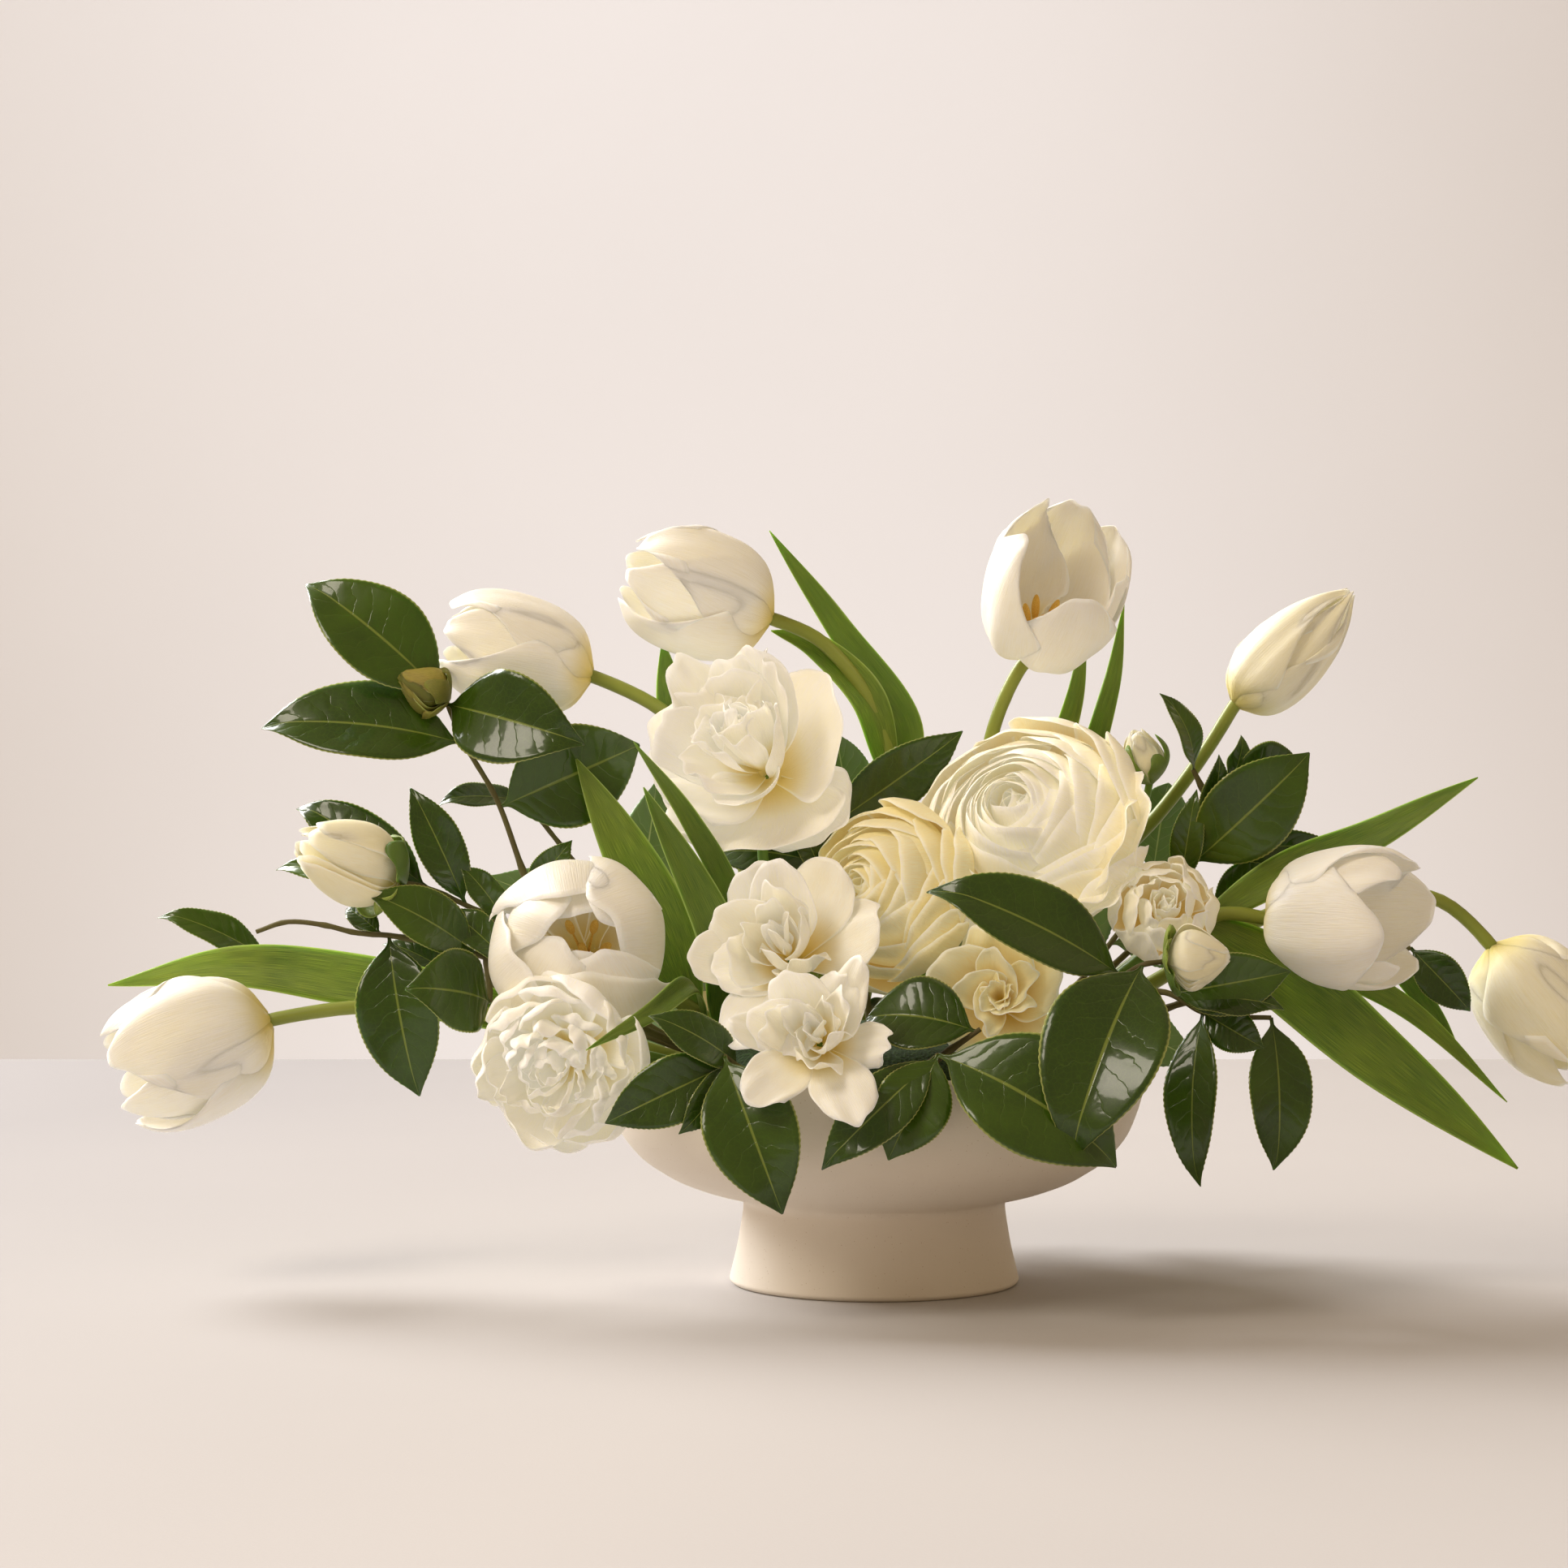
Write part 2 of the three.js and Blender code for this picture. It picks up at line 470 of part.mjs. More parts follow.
// A thin closed shell over a grid of points, thick inside and sharp at its rim. A grown one is the
// room that it needs: wider all round, thicker, and with a wall at its rim.
function shell(stations, columns, place, thickness, grow) {
  const last = stations.length - 1;
  const grid = stations.map((station) => {
    return Array.from({ length: columns + 1 }, (_, j) => place(station, 2 * j / columns - 1));
  });
  const from = (a, b) => b.clone().sub(a).normalize();
  const sidewaysAt = (i) => {
    const row = grid[i][0].distanceTo(grid[i][columns]) > weld ? i : last - 1;
    return (j) => from(grid[row][Math.max(j - 1, 0)], grid[row][Math.min(j + 1, columns)]);
  };
  const positions = [];
  for (const side of [1, -1]) {
    grid.forEach((row, i) => row.forEach((middle, j) => {
      const lengthwise = from(grid[Math.max(i - 1, 0)][j], grid[Math.min(i + 1, last)][j]);
      const sideways = sidewaysAt(i)(j);
      const normal = sideways.clone().cross(lengthwise).normalize();
      const rim = i === 0 || i === last || j === 0 || j === columns;
      const point = middle.clone().addScaledVector(normal, side * (grow + (rim ? 0 : thickness / 2)));
      point.addScaledVector(lengthwise, grow * ((i === last) - (i === 0)));
      point.addScaledVector(sideways, grow * ((j === columns) - (j === 0)));
      positions.push(point.x, point.y, point.z);
    }));
  }
  const under = (last + 1) * (columns + 1);
  const index = [];
  const wallBetween = (a, b) => index.push(a, under + b, b, a, under + a, under + b);
  for (let i = 0; i < last; i += 1) {
    const first = i * (columns + 1);
    for (let j = 0; j < columns; j += 1) {
      const a = first + j;
      const c = a + columns + 1;
      index.push(a, a + 1, c + 1, a, c + 1, c);
      index.push(under + a, under + c + 1, under + a + 1, under + a, under + c, under + c + 1);
    }
    wallBetween(first + columns + 1, first);
    wallBetween(first + columns, first + 2 * columns + 1);
  }
  for (let j = 0; j < columns; j += 1) {
    wallBetween(j, j + 1);
    wallBetween(under - 1 - j, under - 2 - j);
  }
  const geometry = new THREE.BufferGeometry();
  geometry.setAttribute('position', new THREE.Float32BufferAttribute(positions, 3));
  geometry.setIndex(index);
  return solid(geometry);
}

// A leaf blade along a rib. Its halves fold up from the rib.
function blade(rib, face, width, outline, fold, tooth, grow) {
  const place = ([share, portion], v) => {
    const tangent = rib.getTangent(share);
    const normal = face.clone().addScaledVector(tangent, -face.dot(tangent)).normalize();
    const side = tangent.clone().cross(normal);
    const station = outline.findIndex(([at]) => at === share);
    const sawn = portion > 0.1 && station % 2 ? tooth : 0;
    const half = portion * width / 2 + sawn;
    const point = rib.getPoint(share).addScaledVector(side, v * half);
    return point.addScaledVector(normal, fold * Math.abs(v) * half);
  };
  return shell(outline, 2, place, leafThickness, grow);
}

// The way a leaf faces: towards the front and a little up, rolled about its length.
function facing(lengthwise, roll) {
  const axis = lengthwise.clone().normalize();
  const front = new THREE.Vector3(0, -1, 0.35);
  const face = front.addScaledVector(axis, -front.dot(axis)).normalize();
  return face.applyAxisAngle(axis, THREE.MathUtils.degToRad(roll));
}

function camelliaLeaf([base, tip, width, arch, roll], stems, grow) {
  const end = spot(tip);
  const seat = nearestOn(stems, spot(base));
  const start = seat.clone().addScaledVector(end.clone().sub(seat).normalize(), -leafRoot);
  const face = facing(end.clone().sub(start), roll);
  const middle = start.clone().lerp(end, 0.5).addScaledVector(face, 2 * arch);
  const rib = new THREE.QuadraticBezierCurve3(start, middle, end);
  const large = width >= largeLeafWidth;
  const outline = large ? largeLeafOutline : width < littleLeafWidth ? littleLeafOutline : smallLeafOutline;
  return blade(rib, face, width, outline, 0.22, large ? toothDepth : 0, grow);
}

function tulipLeaf([width, [base, ...others]], stem, grow) {
  const rib = route([nearestOn([stem], spot(base)), ...others.map(spot)]);
  const face = facing(rib.getPoint(1).sub(rib.getPoint(0)), 0);
  return blade(rib, face, width, tulipLeafOutline, 0.3, 0, grow);
}

// Where a head stands: its neck at the origin, its axis along +Z and the picture's up along +Y.
function stand(neck, crown) {
  const from = spot(neck);
  const axis = spot(crown).sub(from);
  const height = axis.length();
  axis.normalize();
  const up = new THREE.Vector3(0, 0, 1);
  up.addScaledVector(axis, -up.dot(axis)).normalize();
  const right = up.clone().cross(axis);
  const matrix = new THREE.Matrix4().makeBasis(right, up, axis).setPosition(from);
  return { height, matrix };
}

// A small solid heart of a head, which its petals grow from.
function heart(radius, height, matrix, grow) {
  const wide = radius + grow;
  const geometry = turned([[0, -grow], [wide * 0.7, -grow], [wide, height / 2], [0, height + grow]], 6);
  return solid(geometry.applyMatrix4(matrix));
}

// Two rings of three petals. Open runs from -0.2 for a pointed bud to 1 for a wide cup.
function tulipHead({ neck, crown, radius, open, turn }) {
  const { height, matrix } = stand(neck, crown);
  const thickness = Math.min(petalThickness, radius * 0.06);
  const parts = [heart(radius * 0.34, height * tulipHeartHeight, matrix, 0)];
  for (let petal = 0; petal < 6; petal += 1) {
    const inner = petal % 2;
    const place = (share, v) => {
      const ring = radius * mix(readOff(shutRadius, share), readOff(openRadius, share), open);
      const inset = inner * radius * 0.13 * Math.min(1, share * 5);
      const out = (ring - inset) * (1 - 0.02 * v * v);
      const rise = height * (readOff(petalHeight, share) + inner * 0.03 * share);
      const angle = THREE.MathUtils.degToRad(turn + petal * 60 + v * readOff(petalHalfAngle, share));
      return new THREE.Vector3(out * Math.cos(angle), out * Math.sin(angle), rise).applyMatrix4(matrix);
    };
    const stations = inner ? [0, 0.35, 0.75, 1] : [0, 0.2, 0.5, 0.8, 1];
    parts.push(shell(stations, inner ? 2 : 3, place, thickness, 0));
  }
  return joined(parts);
}

// A shut bud between the neck and the crown. Every fourth side steps in where a petal laps the next.
function budHead({ neck, crown, radius, lap }, sides, grow) {
  const { height, matrix } = stand(neck, crown);
  const profile = [[0, -grow], [radius * 0.7 + grow, height * 0.12], [radius + grow, height * 0.45],
    [radius * 0.76 + grow, height * 0.8], [0, height + grow]];
  const bud = turned(profile, sides);
  const position = bud.getAttribute('position');
  for (let i = 0; i < position.count; i += 1) {
    const side = Math.floor(i / profile.length) % sides;
    const share = 1 - lap * (side % 4) / 3;
    position.setXYZ(i, position.getX(i) * share, position.getY(i) * share, position.getZ(i));
  }
  return solid(bud.applyMatrix4(matrix));
}

// The room that a shut head needs: its convex outline, a little larger.
function roomAround(body) {
  const { vertProperties } = body.getMesh();
  const points = [];
  for (let i = 0; i < vertProperties.length; i += 3) {
    points.push(new THREE.Vector3(...vertProperties.slice(i, i + 3)));
  }
  const middle = new THREE.Box3().setFromPoints(points).getCenter(new THREE.Vector3());
  for (const point of points) {
    point.addScaledVector(point.clone().sub(middle).normalize(), gap);
  }
  return solid(new ConvexGeometry(points));
}

// Layers of cupped petals about a heart. Each petal lies over its neighbour on one side.
function layeredHead({ neck, crown, radius, turn, layers, loose }, grow) {
  const { height, matrix } = stand(neck, crown);
  const parts = [heart(radius * 0.3, height * 0.5, matrix, grow)];
  for (const layer of [...layers, ...loose]) {
    const step = layer.step ?? 360 / layer.petals;
    const stations = layer.rim[0] > 0.8 ? [0, 0.33, 0.7, 1] : [0, 0.5, 1];
    for (let petal = 0; petal < layer.petals; petal += 1) {
      const middle = THREE.MathUtils.degToRad(turn + layer.turn + petal * step);
      const corners = [layer.base, layer.belly, layer.rim].map((corner) => new THREE.Vector2(...corner));
      const profile = new THREE.QuadraticBezierCurve(...corners);
      const place = (share, v) => {
        const { x, y } = profile.getPoint(share);
        const out = radius * x * (1 + 0.09 * v) * (1 - 0.06 * v * v);
        const half = layer.half * readOff(layerHalfWidth, share);
        const angle = middle + v * Math.min(half / x, 1.2);
        return new THREE.Vector3(out * Math.cos(angle), out * Math.sin(angle), height * y)
          .applyMatrix4(matrix);
      };
      parts.push(shell(stations, 2, place, petalThickness, grow));
    }
  }
  return joined(parts);
}

// Six anthers on their threads round a pistil.
function stamens({ neck, crown, radius }) {
  const { height, matrix } = stand(neck, crown);
  const foot = height * tulipHeartHeight + gap;
  const slim = (length, thick) => turned([[0, 0], [thick, length * 0.75], [0, length]], 3);
  const parts = [solid(slim(height * 0.42, 2.4).translate(0, 0, foot).applyMatrix4(matrix))];
  for (let i = 0; i < 6; i += 1) {
    const one = slim(height * 0.4, 1.7).rotateX(0.42).rotateZ(i * Math.PI / 3).translate(0, 0, foot);
    parts.push(solid(one.applyMatrix4(matrix)));
  }
  const seat = turned([[0, foot - 0.1], [radius * 0.08, foot], [0, foot + 2]], 6);
  parts.push(solid(seat.applyMatrix4(matrix)));
  return joined(parts);
}

const outerProfile = [[0, 0], [footRadius - 1.5, 0], [footRadius, 1.5], [55.2, 15], [neckRadius, footHeight],
  [68, 37.5], [81, 42.3], [94, 50.5], [102.3, 60.4], [107.5, 74], [rimRadius, rimHeight - 1.5]];
const innerProfile = [[102, 72], [92, 57.5], [74, 47], [0, 42]];
const bowlProfile = [...outerProfile, [rimRadius - 1.5, rimHeight], [rimRadius - wall + 1.5, rimHeight],
  [rimRadius - wall, rimHeight - 2], ...innerProfile];
const bowl = solid(turned(bowlProfile, bowlSides));

// The room that the dish needs above its foot: the same wall, a gap thicker on each side.
const bowlRoomProfile = [[0, 30], [neckRadius + gap, 30], [neckRadius + 2, footHeight - gap], [68, 37],
  [81.4, 41.8], [94.5, 50], [102.9, 60], [108, 73.8], [rimRadius + gap, rimHeight - 2],
  [rimRadius + gap, rimHeight + gap], [rimRadius - wall - gap, rimHeight + gap],
  ...innerProfile.map(([radius, height]) => [Math.max(0, radius - gap), height + gap])];
const bowlRoom = solid(turned(bowlRoomProfile, bowlSides));

const foamProfile = [[0, 42.5], [foamRadius - 9, 48], [foamRadius - 4, 54], [foamRadius, foamShoulder],
  [foamRadius - 14, foamShoulder + 9], [0, foamTop]];
const foamRoomProfile = foamProfile.map(([radius, height]) => [radius && radius + gap, height + gap]);
const foamRoom = solid(turned([[0, 42], ...foamRoomProfile], foamSides));

const centrepiece = new THREE.Group();
const placed = [{ room: bowlRoom }];
const holes = [];

function addMesh(name, body, material) {
  const mesh = new THREE.Mesh(geometryOf(body), material);
  mesh.name = name;
  centrepiece.add(mesh);
}

function clearOf(body, rooms) {
  return rooms.reduce((rest, { room }) => rest.subtract(room), body);
}

// A piece is trimmed clear of all that is placed before it.
function place(name, whole, room, material) {
  const body = largest(clearOf(whole, placed));
  placed.push({ room });
  addMesh(name, body, material);
}

function placeHead(name, whole, room, material) {
  place(name, whole.subtract(foamRoom), room, material);
}

// Green parts: stems or twigs that stand in the foam, with their leaves and sepals.
function placePlant(name, tubes, blades, material) {
  const [stalks, holesNeeded] = [0, gap].map((grow) => joined(tubes.map((make) => make(grow))));
  const [leaves, leafRoom] = [0, gap].map((grow) => blades.map((make) => make(grow).subtract(foamRoom)));
  holes.push(holesNeeded);
  place(name, joined([stalks, ...leaves]), joined([holesNeeded, ...leafRoom]), material);
}

const stemPoints = ({ foot, stem, neck }) => [new THREE.Vector3(...foot), ...stem.map(spot), spot(neck)];

// The green cup of four pointed sepals that a bud sits in. Reach is the share of the bud that it covers.
const calyx = ({ neck, crown, radius }, reach) => (grow) => {
  const { height, matrix } = stand(neck, crown);
  const inside = calyxRoom - grow;
  const outside = calyxRoom + calyxWall + grow;
  const valley = height * reach * 0.6;
  const tip = height * reach + grow;
  const knob = [[0, -radius * 0.6 - grow], [radius * 0.5 + grow, -radius * 0.4]];
  const outerWall = [[radius * 0.75 + outside, height * 0.06], [radius + outside, valley]];
  const innerWall = [[radius + inside, valley], [radius * 0.75 + inside, height * 0.08], [0, -inside]];
  const rings = [...knob, ...outerWall, ...innerWall];
  const cup = turned(rings, calyxSides);
  const position = cup.getAttribute('position');
  for (let i = 0; i < position.count; i += 1) {
    const side = Math.floor(i / rings.length);
    if (side % 2 && rings[i % rings.length][1] === valley) {
      position.setZ(i, tip);
    }
  }
  return solid(cup.applyMatrix4(matrix));
};

for (const tulip of tulips) {
  const head = tulipHead(tulip);
  placeHead(`tulip_${tulip.name}_petals`, head, roomAround(head), whitePetal);
}
for (const bloom of blooms) {
  placeHead(`${bloom.name}_petals`, layeredHead(bloom, 0), layeredHead(bloom, gap), bloom.petal);
}
for (const bud of buds) {
  const head = budHead(bud, budSides, 0);
  placeHead(`${bud.name}_petals`, head, roomAround(head), creamPetal);
}

for (const tulip of tulips) {
  const stem = stemPoints(tulip);
  const tubes = [(grow) => tube(stem, tulipStemRadius, tulipStemSides, grow)];
  const blades = tulip.leaves.map((leaf) => (grow) => tulipLeaf(leaf, stem, grow));
  placePlant(`tulip_${tulip.name}_stem`, tubes, blades, tulipGreen);
}
for (const bloom of blooms) {
  const tubes = [(grow) => tube(stemPoints(bloom), flowerStemRadius, twigSides, grow)];
  placePlant(`${bloom.name}_stem`, tubes, [], tulipGreen);
}

const [budRound, budHalfOpen, budUpright] = buds;
const uprightStem = { ...budUpright, foot: [36, 6, 72], stem: [[1330, 1150, 8], [1405, 1010, 4]] };
placePlant('bud_upright_stem', [(grow) => tube(stemPoints(uprightStem), twigRadius, twigSides, grow)],
  [calyx(budUpright, 0.6)], tulipGreen);

const sepalsOn = { front_right: budRound, left_high: budHalfOpen };
const greenBud = { neck: [550, 862, 3], crown: [492, 836, -4], radius: 7.5, lap: 0 };
for (const { name, foot, twigs, leaves } of sprays) {
  const [main, ...others] = twigs;
  const paths = [[new THREE.Vector3(...foot), ...main.map(spot)]];
  for (const [start, ...rest] of others) {
    paths.push([nearestOn(paths, spot(start)), ...rest.map(spot)]);
  }
  const tubes = paths.map((path, i) => {
    const radius = i ? sideTwigRadius : twigRadius;
    return (grow) => tube(path, radius, twigSides, grow);
  });
  const blades = leaves.map((leaf) => (grow) => camelliaLeaf(leaf, paths, grow));
  if (sepalsOn[name]) {
    blades.push(calyx(sepalsOn[name], 0.32));
  }
  if (name === 'upper_left') {
    blades.push((grow) => budHead(greenBud, 6, grow));
  }
  placePlant(`camellia_spray_${name}`, tubes, blades, camelliaGreen);
}

for (const name of ['tall_open', 'open_left']) {
  const tulip = tulips.find((row) => row.name === name);
  addMesh(`tulip_${name}_stamens`, stamens(tulip), pollen);
}

const foam = solid(turned(foamProfile, foamSides));
addMesh('floral_foam', largest(holes.reduce((rest, hole) => rest.subtract(hole), foam)), foamGreen);
addMesh('bowl', bowl, ceramic);

export default centrepiece;
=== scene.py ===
import math

import bpy
import numpy as np
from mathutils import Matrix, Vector


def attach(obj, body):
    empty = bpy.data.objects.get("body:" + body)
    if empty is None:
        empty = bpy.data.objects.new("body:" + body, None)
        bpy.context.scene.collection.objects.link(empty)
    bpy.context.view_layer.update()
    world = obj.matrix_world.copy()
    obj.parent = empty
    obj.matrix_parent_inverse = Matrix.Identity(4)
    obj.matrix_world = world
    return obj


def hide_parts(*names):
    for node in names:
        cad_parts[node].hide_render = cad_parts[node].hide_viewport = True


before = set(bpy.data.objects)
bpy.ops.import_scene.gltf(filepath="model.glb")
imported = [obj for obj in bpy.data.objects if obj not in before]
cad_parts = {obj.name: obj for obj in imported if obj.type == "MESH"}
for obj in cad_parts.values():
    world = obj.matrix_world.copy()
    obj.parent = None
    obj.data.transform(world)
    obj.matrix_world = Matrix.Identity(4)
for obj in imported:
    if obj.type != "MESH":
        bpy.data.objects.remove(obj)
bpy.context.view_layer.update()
mm = 0.001

# Camera. A long lens at the height of the flowers looks level across the table, a little to the
# left of the bowl, which is how the photograph was taken.
picture_side = 1932
pixel_size = 0.328 * mm
sensor_width = 36
eye = np.array([-0.0364, -1.4, 0.201])
camera_data = bpy.data.cameras.new("camera")
camera_data.sensor_width = sensor_width
camera_data.lens = sensor_width * abs(eye[1]) / (picture_side * pixel_size)
camera = bpy.data.objects.new("camera", camera_data)
camera.location = eye
camera.rotation_euler = (math.radians(90), 0, 0)
bpy.context.collection.objects.link(camera)
bpy.context.scene.camera = camera


# Table and wall. A smooth pale table top that ends 1.13 m behind the bowl, and a plain painted wall
# beyond it. Neither is part of the centrepiece.
def linear(code):
    """An sRGB hex colour as linear red, green, blue and alpha."""
    shares = [int(code[i : i + 2], 16) / 255 for i in (1, 3, 5)]
    return (*[c / 12.92 if c <= 0.04045 else ((c + 0.055) / 1.055) ** 2.4 for c in shares], 1)


def add(tree, kind, inputs=(), **settings):
    """A node with its settings. Its inputs come by name or in their order, and each is a value, the
    output of another node, or that node, which stands for the first of its outputs."""
    node = tree.nodes.new(kind)
    for name, value in settings.items():
        setattr(node, name, value)
    sockets = [socket for socket in node.inputs if socket.enabled]
    if isinstance(inputs, dict):
        names = [socket.name for socket in sockets]
        sockets = [sockets[names.index(name)] for name in inputs]
        inputs = inputs.values()
    for socket, value in zip(sockets, inputs):
        if isinstance(value, bpy.types.Node):
            value = next(output for output in value.outputs if output.enabled)
        if isinstance(value, bpy.types.NodeSocket):
            tree.links.new(value, socket)
        else:
            socket.default_value = value
    return node


def bare_material(name):
    """A material with an empty node tree."""
    material = bpy.data.materials.new(name)
    material.use_nodes = True
    material.node_tree.nodes.clear()
    return material, material.node_tree


def coated(material, colour, relief, strength, depth, finish):
    """Ends a material: its colour, a relief as deep as it says, and what else the shader is given."""
    tree = material.node_tree
    bump = add(tree, "ShaderNodeBump", {"Height": relief, "Strength": strength, "Distance": depth})
    sockets = {"Base Color": colour, "Normal": bump, "Coat Normal": bump, **finish}
    shader = add(tree, "ShaderNodeBsdfPrincipled", sockets)
    add(tree, "ShaderNodeOutputMaterial", {"Surface": shader})
    return material


def painted(name, colour, other, scale, painted_shade_way=(0, 0, 0)):
    """Matte paint: a soft cloudy change of tone, a painted shade that slowly darkens it one way, to even
    out a lamp that falls brighter there, and the tooth of a roller, whose grains are drawn 1.4 mm
    apart. The scale is how many clouds there are to a metre."""
    material, tree = bare_material(name)
    place = add(tree, "ShaderNodeTexCoord").outputs["Object"]
    cloud = add(tree, "ShaderNodeTexNoise", {"Vector": place, "Scale": scale, "Detail": 4})
    # Painted shade: the tone slowly darkens along the given way, over 0.75 m.
    way = add(tree, "ShaderNodeVectorMath", (place, painted_shade_way), operation="DOT_PRODUCT")
    painted_shade_share = add(tree, "ShaderNodeMapRange", {"Value": way, "From Max": painted_shade_length})
    share = add(tree, "ShaderNodeMath", (cloud, 0.25, painted_shade_share), operation="MULTIPLY_ADD", use_clamp=True)
    tone = add(tree, "ShaderNodeMix", (share, linear(colour), linear(other)), data_type="RGBA")
    tooth = add(tree, "ShaderNodeTexNoise", {"Vector": place, "Scale": 0.7 / mm, "Detail": 3})
    return coated(material, tone, tooth, 0.15, 0.3 * mm, {"Roughness": 0.85})


def piece_of(name, points, edges=(), faces=()):
    """A new object with a mesh of its own, and the mesh."""
    mesh = bpy.data.meshes.new(name)
    mesh.from_pydata(points, edges, faces)
    piece = bpy.data.objects.new(name, mesh)
    bpy.context.collection.objects.link(piece)
    return piece, mesh


def flat_sheet(name, corners, material):
    """One large flat face of the set."""
    sheet, mesh = piece_of(name, corners, faces=[(0, 1, 2, 3)])
    mesh.materials.append(material)


painted_shade_length = 0.75
table_side = 4
table_back = 1.13
wall_side = 5
wall_back = 3.6
wall_foot = -1
# The table top gets painted shade towards its back left, where the window light falls brightest on it.
flat_sheet(
    "table_top",
    [
        (-table_side, -table_side, 0), (table_side, -table_side, 0), (table_side, table_back, 0),
        (-table_side, table_back, 0),
    ],
    painted("matte_table_paint", "#bdb9b7", "#a4a1a2", 3, (-1, 0.25, 0)),
)
flat_sheet(
    "wall",
    [
        (-wall_side, wall_back, wall_foot), (wall_side, wall_back, wall_foot),
        (wall_side, wall_back, wall_side), (-wall_side, wall_back, wall_side),
    ],
    painted("matte_wall_paint", "#efebe7", "#dbd7d3", 2),
)


# Light. Soft daylight from one window, high on the left and a little behind the flowers, with the
# pale room filling the shadows from the front. Two lamps wash the wall, one from above and one
# from below the level of the table, behind it.
def soft_light(name, place, target, size, watts, colour, spread=180):
    """A square lamp that stands at a place and shines at a target."""
    data = bpy.data.lights.new(name, "AREA")
    data.shape = "SQUARE"
    data.size = size
    data.spread = math.radians(spread)
    data.energy = watts
    data.color = linear(colour)[:3]
    light = bpy.data.objects.new(name, data)
    light.location = place
    light.rotation_euler = (Vector(target) - Vector(place)).to_track_quat("-Z", "Y").to_euler()
    bpy.context.collection.objects.link(light)


soft_light("window", (-3.15, 2.3, 2.8), (0.1, -0.1, 0.15), 2.9, 136, "#fffefe", 100)
soft_light("room", (-1.7, -1.6, 2.3), (0, 0, 0.15), 1.2, 42, "#fff3e2")
soft_light("wall_wash", (-0.3, 2.2, 1.9), (-0.35, wall_back, 1.15), 2.6, 25, "#e6efff")
soft_light("wall_glow", (0.1, 2.6, -0.8), (0.1, wall_back, 0.4), 2.2, 20, "#e6efff")
world = bpy.data.worlds.new("room")
world.use_nodes = True
daylight = world.node_tree.nodes["Background"].inputs
daylight["Color"].default_value = linear("#ffdfb8")
daylight["Strength"].default_value = 0.4
bpy.context.scene.world = world
bpy.context.scene.view_settings.view_transform = "Standard"


# Bowl. A wide shallow dish on a splayed foot, slip-cast stoneware with a matte off-white glaze. The
# foot and the dish are one casting.
def softened(profile, radius, steps=5):
    """A profile of [radius, height] points with each inner corner turned into a small arc."""
    points = np.array(profile, float)
    line = [points[0]]
    for before, corner, after in zip(points, points[1:], points[2:]):
        towards = [before - corner, after - corner]
        reach = min(radius, *(0.45 * np.linalg.norm(way) for way in towards))
        start, end = [corner + reach * way / np.linalg.norm(way) for way in towards]
        for t in np.linspace(0, 1, steps):
            line.append((1 - t) ** 2 * start + 2 * t * (1 - t) * corner + t * t * end)
    line.append(points[-1])
    return line


def turned(name, profile, sides, material):
    """A closed form turned about the vertical, from a profile in millimetres from pole to pole."""
    rings = profile[1:-1]
    turn = np.arange(sides) * 2 * math.pi / sides
    points = [(0, 0, profile[0][1])]
    for radius, height in rings:
        points += [(radius * math.cos(a), radius * math.sin(a), height) for a in turn]
    points.append((0, 0, profile[-1][1]))
    last = len(points) - 1
    faces = [(0, 1 + (k + 1) % sides, 1 + k) for k in range(sides)]
    for row in range(len(rings) - 1):
        low = 1 + row * sides
        for k in range(sides):
            after = (k + 1) % sides
            faces.append((low + k, low + after, low + sides + after, low + sides + k))
    top = last - sides
    faces += [(last, top + k, top + (k + 1) % sides) for k in range(sides)]
    form, mesh = piece_of(name, (np.array(points) * mm).tolist(), faces=faces)
    mesh.shade_smooth()
    mesh.materials.append(material)
    return form


def glazed_stoneware():
    """Matte glaze: a dry bloom of tone, fine iron specks 2.4 mm apart and a barely pitted skin."""
    material, tree = bare_material("matte_glazed_stoneware")
    place = add(tree, "ShaderNodeTexCoord").outputs["Object"]
    cloud = add(tree, "ShaderNodeTexNoise", {"Vector": place, "Scale": 0.022 / mm, "Detail": 5})
    glaze = add(
        tree, "ShaderNodeMix", (cloud, linear("#f1e8da"), linear("#e9decd")), data_type="RGBA",
    )
    specks = add(tree, "ShaderNodeTexVoronoi", {"Vector": place, "Scale": 0.42 / mm})
    speck = add(tree, "ShaderNodeMapRange", {"Value": specks, "From Min": 0.1, "From Max": 0.06})
    colour = add(tree, "ShaderNodeMix", (speck, glaze, linear("#d3c3ab")), data_type="RGBA")
    pits = add(tree, "ShaderNodeTexNoise", {"Vector": place, "Scale": 0.9 / mm, "Detail": 2})
    return coated(material, colour, pits, 0.25, 0.15 * mm, {"Roughness": 0.62, "IOR": 1.5})


foot_radius = 58.5
neck_radius = 52.5
foot_height = 34
rim_radius = 110
rim_height = 90
wall = 6
edge = 1.5
outside = [
    [0, 0], [foot_radius - edge, 0], [foot_radius, edge], [55.2, 15], [53.2, 27],
    [neck_radius, foot_height], [68, 37.5], [81, 42.3], [94, 50.5], [102.3, 60.4], [107.5, 74],
]
rim = [
    [rim_radius, rim_height - edge], [rim_radius - edge, rim_height],
    [rim_radius - wall + edge, rim_height], [rim_radius - wall, rim_height - 2],
]
inside = [[102, 72], [92, 57.5], [74, 47], [0, 42]]
bend_radius = 5
bowl_sides = 128
bowl_profile = softened(outside + rim + inside, bend_radius)
bowl = turned("bowl_casting", bowl_profile, bowl_sides, glazed_stoneware())
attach(bowl, "root")
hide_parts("bowl")


